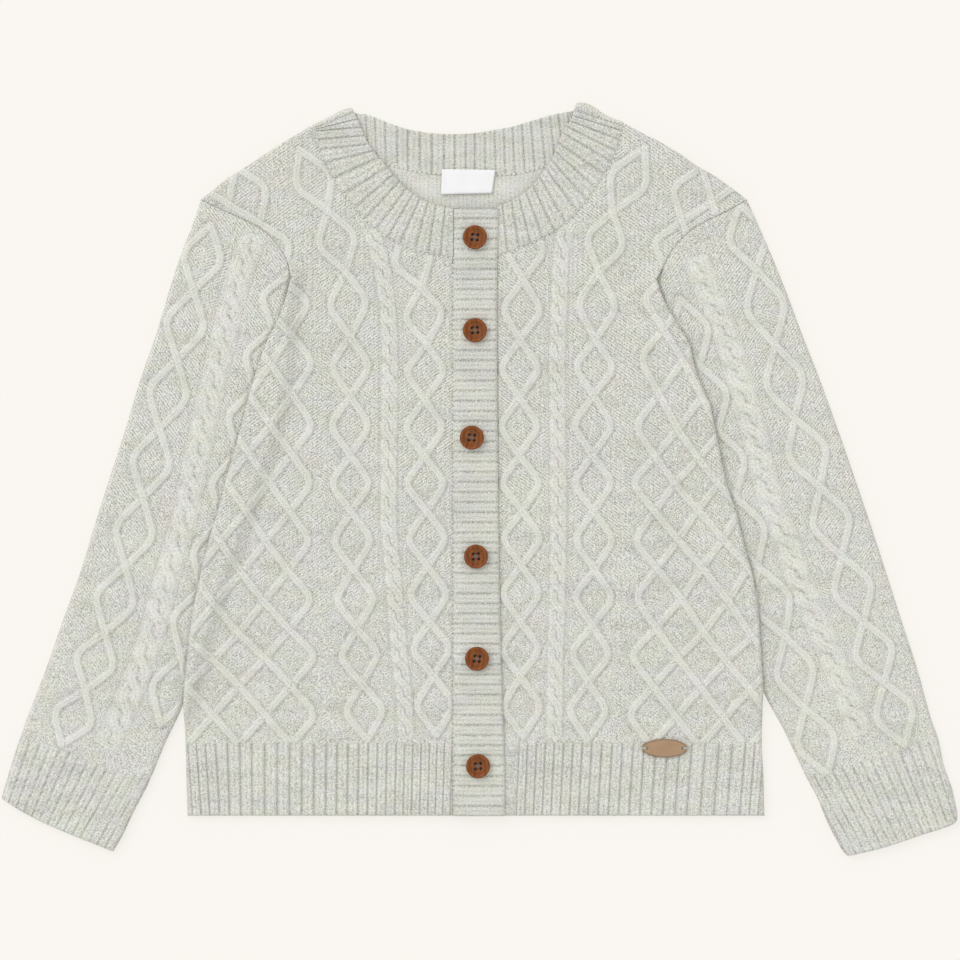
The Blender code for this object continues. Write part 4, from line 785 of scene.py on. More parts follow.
def cuff_cloth(points, lines, knit):
    """Ribs that fan out between the grooves, each given by its foot and head."""
    cloth = Cloth(points, lines[len(lines) // 2][1] - lines[len(lines) // 2][0])
    sides, alongs = [], []
    for foot, head in lines:
        run = (head - foot) / np.linalg.norm(head - foot)
        offset = points - foot
        sides.append(run[0] * offset[:, 1] - run[1] * offset[:, 0])
        alongs.append(offset @ run)
    sides = np.array(sides)
    if sides[0].mean() < sides[-1].mean():
        sides = -sides
    number = np.clip((sides > 0).sum(0) - 1, 0, len(lines) - 2)
    every = np.arange(len(points))
    before, after = sides[number, every], sides[number + 1, every]
    share = np.clip(before / (before - after), 0.0, 1.0)
    ribs(cloth, share, before - after, np.array(alongs)[number, every], knit)
    return cloth


# Meshes ------------

def filled(outline, pitch, others=()):
    """Points of an even grid inside an outline, after the outline's own, and the triangles.

    Each of the others holds a test and the pitch of the grid where it holds."""
    low, high = outline.min(0), outline.max(0)
    grids = [grid_points(low, high, pitch)]
    for test, step in others:
        grids[0] = grids[0][~test(grids[0])]
        grid = grid_points(low, high, step)
        grids.append(grid[test(grid)])
    grid = np.vstack(grids)
    grid = grid[inside(grid, outline)]
    grid = grid[distance(grid, [looped(outline)], pitch) > min(GRID_CLEAR * pitch, GRID_CLEAR_MOST)]
    points = np.vstack([outline, grid])
    edges = [(i, (i + 1) % len(outline)) for i in range(len(outline))]
    found = delaunay_2d_cdt([Vector(point) for point in points.tolist()], edges, [], 1, 1e-6)
    given = np.array([origin[0] for origin in found[3]])
    faces = given[np.array([tuple(face) for face in found[2]])]
    a, b, c = points[faces[:, 0]], points[faces[:, 1]], points[faces[:, 2]]
    turn = (b - a)[:, 0] * (c - a)[:, 1] - (b - a)[:, 1] * (c - a)[:, 0]
    faces[turn < 0] = faces[turn < 0][:, ::-1]
    return points, faces


def grid_points(low, high, pitch):
    rows = np.arange(low[1], high[1], pitch * ROW_SHARE)
    lines = []
    for number, y in enumerate(rows):
        x = np.arange(low[0] + (number % 2) * pitch / 2, high[0], pitch)
        lines.append(np.stack([x, np.full(len(x), y)], 1))
    return np.vstack(lines)


class Shell:
    """Collects the parts of one closed cloth mesh."""

    def __init__(self):
        self.count = 0
        self.points, self.faces = [], []
        self.layers = {"face": [], "hollow": [], "yarn": [], "ground": []}

    def add(self, plan, height, cloth=None):
        """Adds points at a height over the plan and returns the number of the first."""
        first = self.count
        self.points.append(np.column_stack([plan, height]))
        self.count += len(plan)
        cloth = cloth or Cloth(plan)
        for name, values in self.layers.items():
            values.append(getattr(cloth, name))
        return first

    def triangles(self, faces, first=0, up=True):
        faces = np.array(faces) + first
        self.faces.append(faces if up else faces[:, ::-1])

    def wall(self, low, high):
        """A wall between two loops of points of the same count, by their numbers."""
        low, high = np.array(low), np.array(high)
        low_next, high_next = np.roll(low, -1), np.roll(high, -1)
        self.faces.append(np.stack([low, low_next, high_next], 1))
        self.faces.append(np.stack([low, high_next, high], 1))

    def band(self, first, second, places, flip):
        """Joins two chains of points, by their numbers, whose counts may differ."""
        i = j = 0
        faces = []
        while i < len(first) - 1 or j < len(second) - 1:
            forward = j == len(second) - 1 or (
                i < len(first) - 1
                and math.dist(places[first[i + 1]], places[second[j]])
                <= math.dist(places[first[i]], places[second[j + 1]]))
            if forward:
                faces.append((first[i], first[i + 1], second[j]))
                i += 1
            else:
                faces.append((first[i], second[j + 1], second[j]))
                j += 1
        self.triangles(faces, 0, not flip)

    def build(self, name, material, merge=False):
        points, faces = to_frame(np.vstack(self.points)), np.vstack(self.faces)
        mesh = bpy.data.meshes.new(name)
        mesh.from_pydata(points.tolist(), [], faces.tolist())
        corners = faces.ravel()
        for layer in ("yarn", "ground"):
            values = np.vstack(self.layers[layer])
            uv = mesh.uv_layers.new(name=layer)
            uv.data.foreach_set("uv", values[corners].astype(np.float32).ravel())
        for layer in ("face", "hollow"):
            values = np.concatenate(self.layers[layer])
            attribute = mesh.attributes.new(layer, "FLOAT", "POINT")
            attribute.data.foreach_set("value", values.astype(np.float32))
        if merge:
            merge_and_turn(mesh)
        mesh.shade_smooth()
        mesh.materials.append(material)
        mesh.update()
        return in_scene(name, mesh)


def in_scene(name, mesh):
    piece = bpy.data.objects.new(name, mesh)
    bpy.context.scene.collection.objects.link(piece)
    return piece


def merge_and_turn(mesh):
    """Joins points that coincide and turns all faces outwards."""
    work = bmesh.new()
    work.from_mesh(mesh)
    bmesh.ops.remove_doubles(work, verts=work.verts, dist=1e-6)
    bmesh.ops.recalc_face_normals(work, faces=work.faces)
    work.to_mesh(mesh)
    work.free()


def to_frame(points):
    """Table millimetres to the model's frame, in metres."""
    return (np.array(points, float) - (*ORIGIN, 0.0)) * MM


def rope_test(table, sizes):
    """Tells which points lie on a rope."""
    path = smooth(table, COARSE_STEP)
    reach = sizes[1] + sizes[2] + ROPE_MARGIN
    low, high = path.min(0) - reach, path.max(0) + reach

    def test(points):
        near = ((points > low) & (points < high)).all(1)
        near[near] = distance(points[near], [path], reach + 1.0) < reach
        return near

    return test


def two_faces(outline, top, low, pitch, others, base_pitch):
    """A shell with top(points), its height and cloth, over low(points), its underside."""
    shell = Shell()
    plan, faces = filled(outline, pitch, others)
    upper = shell.add(plan, *top(plan))
    shell.triangles(faces, upper)
    base, base_faces = filled(outline, base_pitch)
    lower = shell.add(base, low(base))
    shell.triangles(base_faces, lower, up=False)
    return shell, upper, lower


def panel(name, outline, top, low, pitch, material, others=(), base_pitch=HIDDEN_PITCH):
    """A closed panel with a wall along its outline."""
    shell, upper, lower = two_faces(outline, top, low, pitch, others, base_pitch)
    rim = np.arange(len(outline))
    shell.wall(lower + rim, upper + rim)
    return shell.build(name, material)


# Finishes ------------

class Socket:
    """An output of a node that can be used in sums."""

    def __init__(self, maker, link):
        self.maker = maker
        self.link = link

    def maths(self, operation, *others, clamp=False):
        settings = {"operation": operation, "use_clamp": clamp}
        return self.maker.node("ShaderNodeMath", settings, dict(enumerate((self, *others))))

    def __add__(self, other):
        return self.maths("ADD", other)

    def __sub__(self, other):
        return self.maths("SUBTRACT", other)

    def __mul__(self, other):
        return self.maths("MULTIPLY", other)

    def __truediv__(self, other):
        return self.maths("DIVIDE", other)

    __radd__ = __add__
    __rmul__ = __mul__

    def __rsub__(self, other):
        return self.maker.node("ShaderNodeMath", {"operation": "SUBTRACT"}, {0: other, 1: self})

    def wave(self):
        """1 where the value is a whole number and 0 halfway between."""
        return (self * (2 * math.pi)).maths("COSINE") * 0.5 + 0.5

    def clamped(self):
        return self.maths("ADD", 0.0, clamp=True)

    def swing(self, width):
        """A noise as a swing about 0 of a given width."""
        return (self - 0.5) * width


class Maker:
    """Builds the nodes of one material."""

    def __init__(self, name, **constants):
        self.material = bpy.data.materials.new(name)
        self.material.use_nodes = True
        self.tree = self.material.node_tree
        self.shader = self.tree.nodes["Principled BSDF"]
        for socket, value in constants.items():
            self.shader.inputs[socket.replace("_", " ")].default_value = value

    def node(self, kind, settings=None, inputs=None, output=0):
        made = self.tree.nodes.new(kind)
        for key, value in (settings or {}).items():
            setattr(made, key, value)
        for key, value in (inputs or {}).items():
            if isinstance(value, Socket):
                self.tree.links.new(value.link, made.inputs[key])
            else:
                made.inputs[key].default_value = value
        return Socket(self, made.outputs[output])

    def uv(self, name):
        split = self.tree.nodes.new("ShaderNodeSeparateXYZ")
        made = self.node("ShaderNodeUVMap", {"uv_map": name})
        self.tree.links.new(made.link, split.inputs[0])
        return Socket(self, split.outputs[0]), Socket(self, split.outputs[1])

    def attribute(self, name):
        return self.node("ShaderNodeAttribute", {"attribute_name": name}, None, "Fac")

    def place(self, scale=(1.0, 1.0, 1.0), turn=0.0):
        """Object coordinates, stretched and turned about Z."""
        spot = self.node("ShaderNodeTexCoord", None, None, "Object")
        values = {"Vector": spot, "Scale": scale, "Rotation": (0.0, 0.0, turn)}
        return self.node("ShaderNodeMapping", None, values)

    def noise(self, vector, scale, detail=2.0, roughness=0.5, distortion=0.0):
        values = {"Vector": vector, "Scale": scale, "Detail": detail,
                  "Roughness": roughness, "Distortion": distortion}
        return self.node("ShaderNodeTexNoise", None, values, "Fac")

    def mix(self, share, first, second, blend="MIX"):
        values = {0: share}
        for key, colour in ((6, first), (7, second)):
            values[key] = colour if isinstance(colour, Socket) else (*colour, 1.0)
        return self.node("ShaderNodeMix", {"data_type": "RGBA", "blend_type": blend}, values, 2)

    def bump(self, height, depth):
        values = {"Height": height, "Distance": depth}
        return self.node("ShaderNodeBump", None, values)

    def finish(self, colour, normal=None, roughness=None):
        links = {"Base Color": colour, "Normal": normal, "Roughness": roughness}
        for name, value in links.items():
            if value is not None:
                self.tree.links.new(value.link, self.shader.inputs[name])
        return self.material


def knit_material(name, knit, turn=0.0, light=0.0):
    """Heathered wool: knit stitches on strands and ribs, purl bumps on the ground, with painted shade and
    painted highlight in its colour.
    """
    name = "aran_" + name
    if name in bpy.data.materials:
        return bpy.data.materials[name]
    maker = Maker(name, Roughness=0.95, Sheen_Weight=0.15, Specular_IOR_Level=0.2)
    across, along = maker.uv("yarn")
    wale, row = maker.uv("ground")
    face, hollow = maker.attribute("face"), maker.attribute("hollow")
    plain = maker.place()
    lain = maker.place(ALONG_YARN, turn)
    fuzz = maker.noise(plain, FUZZ, 1.0, 0.6)
    heather = maker.noise(lain, HEATHER, 2.0, 0.6)
    warmth, green = maker.noise(lain, WARMTH), maker.noise(plain, GREEN)
    patches = maker.noise(maker.place(ALONG_PATCH, turn), PATCHES)
    drift = maker.noise(plain, DRIFT, 1.0)
    column = across / COLUMN
    lean = (column.maths("FRACT") - 0.5).maths("ABSOLUTE")
    stitch = (1.0 - column.wave()) * 0.6 + (along / STITCH + lean * STITCH_LEAN).wave() * 0.4
    bent = row / ROW + heather.swing(0.9)
    turned = (drift.swing(14.0) - 1.0).clamped()
    lines = (bent - wale / WALE).wave() * (1.0 - turned) + (bent + wale / WALE).wave() * turned
    purl = lines * 0.8 + (wale / WALE).wave() * 0.2
    # The purl rows show less low on the body, and come and go in patches
    upward = maker.node("ShaderNodeSeparateXYZ", None, {0: plain}, 1)
    clear = (patches.swing(2.5) + 0.85).clamped() * ((upward * 9.0 + 0.75).clamped() * 0.6 + 0.4)
    height = purl * (1.0 - face) * clear + stitch * face * 0.6
    # The tone holds the heather's own random tone together with painted shade and highlight: stitches light
    # on their crests and dark between, strands lighter than the ground, creases darkened by the hollow
    # attribute
    tone = (knit.yarn_tone + light + heather.swing(HEATHER_TONE) + patches.swing(PATCHES_TONE)
            + face * FACE_HIGHLIGHT + (purl - 0.45) * clear * (1.0 - face) * PURL_SHADE
            + (stitch - 0.5) * face * STITCH_SHADE
            + (fuzz - 0.5) * (FUZZ_TONE[0] - face * FUZZ_TONE[1]) - hollow * PAINTED_SHADE_TONE)
    # From the dark and shaded yarn to the pale and lit yarn, by the tone with its painted shade and
    # highlight
    colour = maker.mix(tone.clamped(), tuple(knit.yarn_dark_and_shaded), tuple(knit.yarn_pale_and_lit))
    warm = maker.mix((warmth.swing(TINT_SPREAD) + 0.5).clamped(), WHITE, tuple(knit.yarn_warm))
    tint = maker.mix((green.swing(TINT_SPREAD) + 0.5).clamped(), *COOL_TINT)
    colour = maker.mix(1.0, maker.mix(1.0, colour, warm, "MULTIPLY"), tint, "MULTIPLY")
    return maker.finish(colour, maker.bump(height * 0.6 + fuzz * 0.8, KNIT_BUMP))


def wood_material(trims):
    maker = Maker("button_wood", Specular_IOR_Level=0.22, Coat_Weight=0.05, Coat_Roughness=0.3)
    across, along = maker.uv("grain")
    edge = maker.attribute("rim")
    spot = maker.node("ShaderNodeCombineXYZ", None, {0: across, 1: along * GRAIN_STRETCH, 2: 0.0})
    streak = maker.noise(spot, STREAKS, 4.0, 0.6, 0.4)
    pores = maker.noise(spot, PORES, 3.0, 0.7)
    share = (streak.swing(2.6) + 0.5 + pores.swing(0.5)).clamped()
    colour = maker.mix(share, tuple(trims.wood_dark), tuple(trims.wood_light))
    # Darker at the side, with painted shade in the dish, by the rim attribute
    colour = maker.mix((edge * 0.8).clamped(), colour, tuple(trims.wood_edge))
    return maker.finish(colour, maker.bump(pores + streak, WOOD_BUMP), 0.36 + pores * 0.2)


def thread_material(name, colour):
    maker = Maker(name, Roughness=0.8, Sheen_Weight=0.2)
    twist = maker.noise(maker.place(), THREAD_TWIST, 2.0, 0.6)
    dark = tuple(THREAD_DARK * c for c in colour)
    return maker.finish(maker.mix(twist, dark, colour), maker.bump(twist, THREAD_BUMP))


def label_material(trims):
    """A plain woven ribbon: fine weft rows, with painted shade along the seam at each end."""
    maker = Maker("label_cloth", Roughness=0.8, Sheen_Weight=0.2)
    across, along = maker.uv("ground")
    weave = (along / WEFT).wave() * 0.6 + (across / WARP).wave() * 0.4
    soil = maker.noise(maker.place(), LABEL_SOIL, 3.0, 0.55)
    # The hollow attribute here is the painted shade along the seams at the ends
    edge = maker.attribute("hollow")
    share = (0.72 + weave * 0.2 + soil.swing(0.5) - edge * 0.35).clamped()
    dark = tuple(LABEL_DARK * c for c in trims.label)
    return maker.finish(maker.mix(share, dark, tuple(trims.label)), maker.bump(weave, LABEL_BUMP))


def leather_material(trims):
    """Smooth tan leather with fine pores, darker at its cut edge."""
    maker = Maker("tag_leather", Specular_IOR_Level=0.35)
    pores = maker.noise(maker.place(), LEATHER_PORES, 4.0, 0.6)
    cloud = maker.noise(maker.place(), LEATHER_CLOUD, 3.0, 0.55)
    edge = maker.attribute("rim")
    share = (0.5 + cloud.swing(1.5) + pores.swing(0.5)).clamped()
    colour = maker.mix(share, tuple(trims.leather_dark), tuple(trims.leather_light))
    colour = maker.mix((edge * 0.75).clamped(), colour, tuple(trims.leather_edge))
    return maker.finish(colour, maker.bump(pores, LEATHER_BUMP), 0.5 + pores * 0.2)


# Settings ------------

def length(name, description, default):
    return bpy.props.FloatProperty(name=name, description=description, default=default,
                                   min=0.0, precision=5, unit="LENGTH")


def colour(name, description, default):
    return bpy.props.FloatVectorProperty(name=name, description=description, default=default,
                                         size=3, min=0.0, max=1.0, subtype="COLOR")


class KnitSettings(bpy.types.PropertyGroup):
    """Sizes and colours of the knit."""

    pitch: length("Mesh pitch", "Between the points of the panels that show", 0.00078)
    strand_half: length("Strand half width", "Of a travelling strand", 0.0021)
    strand_rise: length("Strand rise", "Of a travelling strand above the ground", 0.0009)
    rope_rise: length("Rope rise", "Of a rope cable above the ground", 0.0011)
    rib_rise: length("Rib rise", "Of a rib above its grooves", 0.0007)
    # Lit and shaded copies of the yarn's colour: the pale one is painted highlight on the crests of
    # stitches and the dark one painted shade between them; the tone between also holds the heather's own
    # variation
    yarn_pale_and_lit: colour("Light yarn", "Of crests of stitches", (0.90, 0.90, 0.852))
    yarn_dark_and_shaded: colour("Dark yarn", "Between stitches", (0.34, 0.34, 0.312))
    yarn_warm: colour("Warm tint", "Of the warmer patches of the yarn", (1.0, 0.995, 0.93))
    yarn_tone: bpy.props.FloatProperty(name="Yarn tone", description="Share of light yarn",
                                       default=0.63)


class TrimSettings(bpy.types.PropertyGroup):
    """Colours of the buttons, label and tag."""

    wood_light: colour("Light wood", "Streaks of the buttons", (0.42, 0.122, 0.020))
    wood_dark: colour("Dark wood", "Ground of the buttons", (0.115, 0.024, 0.004))
    wood_edge: colour("Wood edge", "Side of the buttons", (0.055, 0.03, 0.014))
    thread: colour("Thread", "That sews the buttons on", (0.2, 0.19, 0.18))
    label: colour("Label", "Woven neck label", (1.0, 1.0, 1.0))
    leather_light: colour("Light leather", "Of the tag", (0.46, 0.315, 0.19))
    leather_dark: colour("Dark leather", "Of the tag", (0.37, 0.22, 0.125))
    leather_edge: colour("Leather edge", "Cut edge of the tag", (0.16, 0.095, 0.055))
    tag_stitch: colour("Tag stitches", "That sew the tag on", (0.7, 0.68, 0.6))


class StageSettings(bpy.types.PropertyGroup):
    """Floor, light and camera."""

    floor: colour("Floor", "Pale floor", (0.950, 0.916, 0.873))
    camera_height: length("Camera height", "Above the cloth", 2.2)
    picture_width: length("Picture width", "At the height of the cloth", 0.4656)
    sky: bpy.props.FloatProperty(name="Sky", description="Light from all round", default=0.78)
    key: bpy.props.FloatProperty(name="Key light", description="Soft light from the upper left",
                                 default=0.9, unit="POWER")


SETTINGS = {"cardigan_knit": KnitSettings, "cardigan_trims": TrimSettings,
            "cardigan_stage": StageSettings}


# Pieces ------------

def finish_piece(piece, nodes=()):
    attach(piece, "root")
    if nodes:
        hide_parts(*nodes)
    return piece


class CARDIGAN_OT_back(bpy.types.Operator):
    """Knit the back panel: its inner side shows in the neck, its outer side lies below"""

    bl_idname = "cardigan.back"
    bl_label = "Back"

    def execute(self, context):
        knit = context.scene.cardigan_knit
        left, right = body_edges(BACK_STEP)
        neck = seam_side(smooth(BACK_SEAM, EDGE_STEP), BODY_MIDDLE)
        hem = even(np.array([(-HEM_HALF, 0.0), (HEM_HALF, 0.0)]), BACK_STEP)
        outline = closed_outline(
            hem, right[3][::-1], right[2][::-1], seam_side(right[1], BODY_TOP)[::-1],
            right[0][-2::-1], neck[::-1], left[0][:-1], seam_side(left[1], BODY_TOP), left[2], left[3])
        loop = looped(outline)
        placket_end = np.array([(PLACKET_SEAM_X, PLACKET_TOP), (-PLACKET_SEAM_X, PLACKET_TOP)])
        bands = [smooth(NECK_FREE_L, LINE_STEP), smooth(NECK_FREE_R, LINE_STEP), placket_end]

        def top(points):
            cloth = Cloth(points)
            # Painted shade along the neck seam, and painted shadow below the neckband's free edges and the
            # top of the placket
            at_seam, at_band, depth = BACK_SHADE
            cloth.hollow = np.maximum(
                depth * np.exp(-distance(points, [neck], BACK_REACH) / at_seam),
                depth * np.exp(-distance(points, bands, BACK_REACH) / at_band))
            cloth.face[:] = smoothstep(points[:, 1], *BACK_KNIT)
            cloth.yarn = points.copy()
            drop = below_round(distance(points, [loop]), SEAM_ROUND)
            return body_lift(points) + BACK_LEVEL + WALL - drop, cloth

        def hidden(points):
            return (points[:, 1] < BACK_SEEN[1]) | (np.abs(points[:, 0]) > BACK_SEEN[0])

        piece = panel("back_knit", outline, top, lambda p: body_lift(p) + BACK_LEVEL,
                      knit.pitch / MM, knit_material("knit", knit), [(hidden, HIDDEN_PITCH)],
                      UNDER_PITCH)
        finish_piece(piece, ["back"])
        return {"FINISHED"}


def front_pattern(sign):
    """Strands, crossings and rope's table of a front; `sign` is -1 for the wearer's right."""
    if sign < 0:
        tables, turns, widths, rope = (LADDER_1L, LADDER_2L), LATTICE_L, LATTICE_COLUMN_L, ROPE_L
    else:
        tables, turns, widths, rope = (LADDER_1R, LADDER_2R), LATTICE_R, LATTICE_COLUMN_R, ROPE_R
    strands, crossings = lattice(turns, sign, widths, LATTICE_COLUMNS)
    more, corners = ladders(tables, FRONT_HALF)
    return strands + more, crossings + corners, rope


def front_outline(sign):
    """Outline of a front, its seams at the bands and at the sleeve, and its free edges."""
    shoulder, armhole, underarm, side = body_edges(EDGE_STEP)[0 if sign < 0 else 1]
    neck_table = NECK_SEAM_L if sign < 0 else NECK_SEAM_R
    neck = seam_side(smooth(neck_table, EDGE_STEP), (sign * FRONT_MIDDLE[0], FRONT_MIDDLE[1]))[1:]
    if sign < 0:
        x = PLACKET_SEAM_X - SHUT
        centre = even(np.array([(x, FRONT_TOP), (x, 0.0)]), EDGE_STEP)
    else:
        centre = smooth(PLACKET_EDGE, EDGE_STEP)
        centre = centre[centre[:, 1] < neck[-1][1] - 0.2] - (TUCK, 0.0)
    neck[-1] = (centre[0][0], neck[-1][1])
    grooves = np.sort(hem_grooves(HEM_GROOVES_L if sign < 0 else HEM_GROOVES_R))
    hem_x = np.arange(min(abs(centre[-1][0]), abs(side[-1][0])), HEM_HALF, EDGE_STEP)[1:] * sign
    hem_x = hem_x[np.abs(hem_x) < abs(side[-1][0]) - 0.3]
    hem = np.stack([hem_x, hem_scallop(hem_x, grooves)], 1)
    flank = joined(underarm, side)
    armhole = seam_side(armhole, BODY_TOP)
    outline = closed_outline(centre, hem, flank[::-1], armhole[::-1], shoulder[-2::-1], neck)
    free = [shoulder, flank, looped(np.vstack([centre[-1:], hem, flank[-1:]]))[:-1]]
    return outline, [neck, centre], armhole, free, grooves


def hem_scallop(x, grooves):
    """The hem dips in a little at each groove."""
    count = np.interp(x, grooves, np.arange(len(grooves)))
    share = count - np.floor(count)
    side = np.minimum(share, 1.0 - share)
    return HEM_SCALLOP * (1.0 - smoothstep(side, 0.0, HEM_SCALLOP_SHARE))


class CARDIGAN_OT_fronts(bpy.types.Operator):
    """Knit the two fronts with their ladders of diamonds, ropes, lattice and hem ribs"""

    bl_idname = "cardigan.fronts"
    bl_label = "Fronts"

    def execute(self, context):
        knit = context.scene.cardigan_knit
        for sign, node in ((-1, "front_right"), (1, "front_left")):
            strands, crossings, rope = front_pattern(sign)
            outline, seams, armhole, free, grooves = front_outline(sign)

            def top(points):
                cables = cable_cloth(points, (0.0, 1.0), strands, crossings, (rope, ROPE), knit)
                rib = hem_cloth(points, grooves, knit)
                blend = smoothstep(points[:, 1], HEM_RIB - HEM_BLEND[0], HEM_RIB + HEM_BLEND[1])
                cloth = cables.blended(rib, 1.0 - blend)
                cloth.ground[:, 0] *= -sign
                to_seam, to_sleeve, to_edge = (distance(points, edges)
                                               for edges in (seams, [armhole], free))
                nearest = np.minimum(np.minimum(to_seam, to_sleeve), to_edge + FREE_EDGE)
                # Painted shade along the seams at the neckband and placket; on the left front also the
                # painted shadow of the top placket's free edge
                shade = SEAM_SHADE[1] * np.exp(-(to_seam / SEAM_SHADE[0]) ** 2)
                if sign > 0:
                    to_placket = distance(points, seams[1:], SHADE_REACH)
                    shade = np.maximum(shade, PLACKET_SHADE[1] * np.exp(-to_placket / PLACKET_SHADE[0]))
                cloth.hollow = np.maximum(cloth.hollow, shade)
                level = body_lift(points) + FRONT_LEVEL + WALL
                level += cloth.height * smoothstep(nearest, 0.0, FLAT_SEAM)
                drop = np.maximum(below_round(to_seam, SEAM_ROUND),
                                  below_round(EDGE_WIDTH * to_edge, EDGE_ROUND))
                return level - np.maximum(drop, below_round(to_sleeve, ARMHOLE_ROUND)), cloth

            near_rope = rope_test(rope, ROPE)

            def fine(points):
                return near_rope(points) | (points[:, 1] < HEM_RIB)

            piece = panel(node + "_knit", outline, top, lambda p: body_lift(p) + FRONT_LEVEL,
                          knit.pitch / MM, knit_material("knit", knit), [(fine, ROPE_MESH)])
            finish_piece(piece, [node])
        return {"FINISHED"}


class CARDIGAN_OT_sleeves(bpy.types.Operator):
    """Knit the two sleeves, tubes that lie flat with their inner folds beneath the body"""

    bl_idname = "cardigan.sleeves"
    bl_label = "Sleeves"

    def execute(self, context):
        knit = context.scene.cardigan_knit
        sleeve("sleeve_right", -1, (SLEEVE_OUTER_L, SLEEVE_INNER_L, CUFF_EDGE_L, CUFF_TOP_L, ARMHOLE_L),
               (OUTER_LADDER_L, INNER_LADDER_L), SLEEVE_ROPE_L, knit)
        sleeve("sleeve_left", 1, (SLEEVE_OUTER_R, SLEEVE_INNER_R, CUFF_EDGE_R, CUFF_TOP_R, ARMHOLE_R),
               (OUTER_LADDER_R, INNER_LADDER_R), SLEEVE_ROPE_R, knit)
        return {"FINISHED"}


def sleeve(node, sign, tables, ladder_tables, rope, knit):
    """A sleeve from its tables: outer and inner fold, edge and top of the cuff, and armhole."""
    outer, inner, ends, armhole = (smooth(tables[k], EDGE_STEP) for k in (0, 1, 2, 4))
    tops = smooth(tables[3], LINE_STEP)
    middle = (sign * SLEEVE_MIDDLE[0], SLEEVE_MIDDLE[1])
    mouth = seam_side(armhole, middle)
    mouth[0], mouth[-1] = outer[0], inner[0]
    count = np.arange(CUFF_RIBS + 1) / CUFF_RIBS
    feet, heads = (at_lengths(edge, count * travelled(edge)[-1]) for edge in (ends, tops))
    lines = list(zip(feet, heads))
    outline = closed_outline(outer, ends, inner[::-1], mouth[::-1])
    folds = [outer, inner]
    _, _, underarm, side = body_edges(EDGE_STEP)[0 if sign < 0 else 1]
    covered = joined(underarm, side)
    body = np.vstack([covered, [(sign * x, y) for x, y in BODY_CORNERS]])
    axis = (outer[0] + inner[0]) / 2 - (outer[-1] + inner[-1]) / 2
    strands, crossings = ladders(ladder_tables, SLEEVE_HALF)
    order = np.argsort(tops[:, 0])

    def bulge(points):
        return HALF_TUBE - below_round(distance(points, folds), HALF_TUBE)

    def top(points):
        cables = cable_cloth(points, axis, strands, crossings, (rope, BROAD_ROPE), knit)
        rib = cuff_cloth(points, lines, knit)
        above = points[:, 1] - np.interp(points[:, 0], tops[order, 0], tops[order, 1])
        cloth = cables.blended(rib, 1.0 - smoothstep(above, -CUFF_BLEND, CUFF_BLEND))
        to_body = np.where(inside(points, body), 0.0, distance(points, [covered], SHADE_REACH))
        to_seam, to_fold, to_end = (distance(points, edges) for edges in ([mouth], folds, [ends]))
        clear = (smoothstep(to_body, *CLEAR_OF_BODY) * smoothstep(to_seam, 0.0, FLAT_SEAM)
                 * smoothstep(to_fold, *CLEAR_OF_FOLD))
        cloth.ground[:, 0] *= sign
        # Painted shade on the sleeve beside the edge of the body that lies over it
        cloth.hollow = np.maximum(cloth.hollow, TUCKED_SHADE * np.exp(-to_body))
        sunk = np.maximum(MOUTH_SINK * below_round(to_seam, ARMHOLE_ROUND) / ARMHOLE_ROUND,
                          CUFF_SINK * below_round(to_end, 1.0))
        return HALF_TUBE + bulge(points) * (1.0 - sunk) + cloth.height * clear, cloth

    def hidden(points):
        return inside(points, body) & (distance(points, [covered], SHADE_REACH) > BODY_MARGIN)

    near_rope = rope_test(rope, BROAD_ROPE)

    def on_rope(points):
        near = near_rope(points)
        near[near] = ~hidden(points[near])
        return near

    shell, upper, lower = two_faces(outline, top, lambda p: HALF_TUBE - bulge(p), knit.pitch / MM,
                                    [(hidden, HIDDEN_PITCH), (on_rope, ROPE_MESH)], UNDER_PITCH)
    add_hollow(shell, outline, folds, mouth, ends, upper, lower, middle)
    material = knit_material("sleeve", knit, sign * SLEEVE_TURN, SLEEVE_LIGHT)
    piece = shell.build(node + "_knit", material, merge=True)
    finish_piece(piece, [node])


def add_hollow(shell, outline, folds, mouth, ends, upper, lower, away):
    """The inside of the tube, open at the armhole and the cuff, where the two layers part."""
    outer_in, inner_in = [seam_side(fold, away, WALL)[2:-2] for fold in folds]
    for number, edge in ((0, mouth), (-1, ends)):
        outer_in[number] = at_lengths(edge, [WALL])[0]
        inner_in[number] = at_lengths(edge[::-1], [WALL])[0]
    mouth_in = joined(outer_in[:1], clear_of_ends(mouth, WALL + 0.5), inner_in[:1])
    ends_in = joined(outer_in[-1:], clear_of_ends(ends, WALL + 0.5), inner_in[-1:])
    hollow = closed_outline(outer_in, ends_in, inner_in[::-1], mouth_in[::-1])
    plan, faces = filled(hollow, HIDDEN_PITCH)
    parted = np.clip(distance(plan, [outer_in, inner_in]) / EDGE_STEP, 0.0, 1.0)
    roof = shell.add(plan, HALF_TUBE + SEAM / 2 * parted)
    shell.triangles(faces, roof, up=False)
    ground = shell.add(plan, HALF_TUBE - SEAM / 2 * parted)
    shell.triangles(faces, ground)
    places = np.vstack(shell.points)
    for edge, edge_in in ((mouth, mouth_in), (ends, ends_in)):
        for first, first_in, turned in ((upper, roof, False), (lower, ground, True)):
            rim = [first + i for i in numbers_on(outline, edge)]
            rim_in = [first_in + i for i in numbers_on(hollow, edge_in)]
            start = places[rim[0]]
            if math.dist(start, places[rim_in[0]]) > math.dist(start, places[rim_in[-1]]):
                rim_in = rim_in[::-1]
            shell.band(rim, rim_in, places, turned)


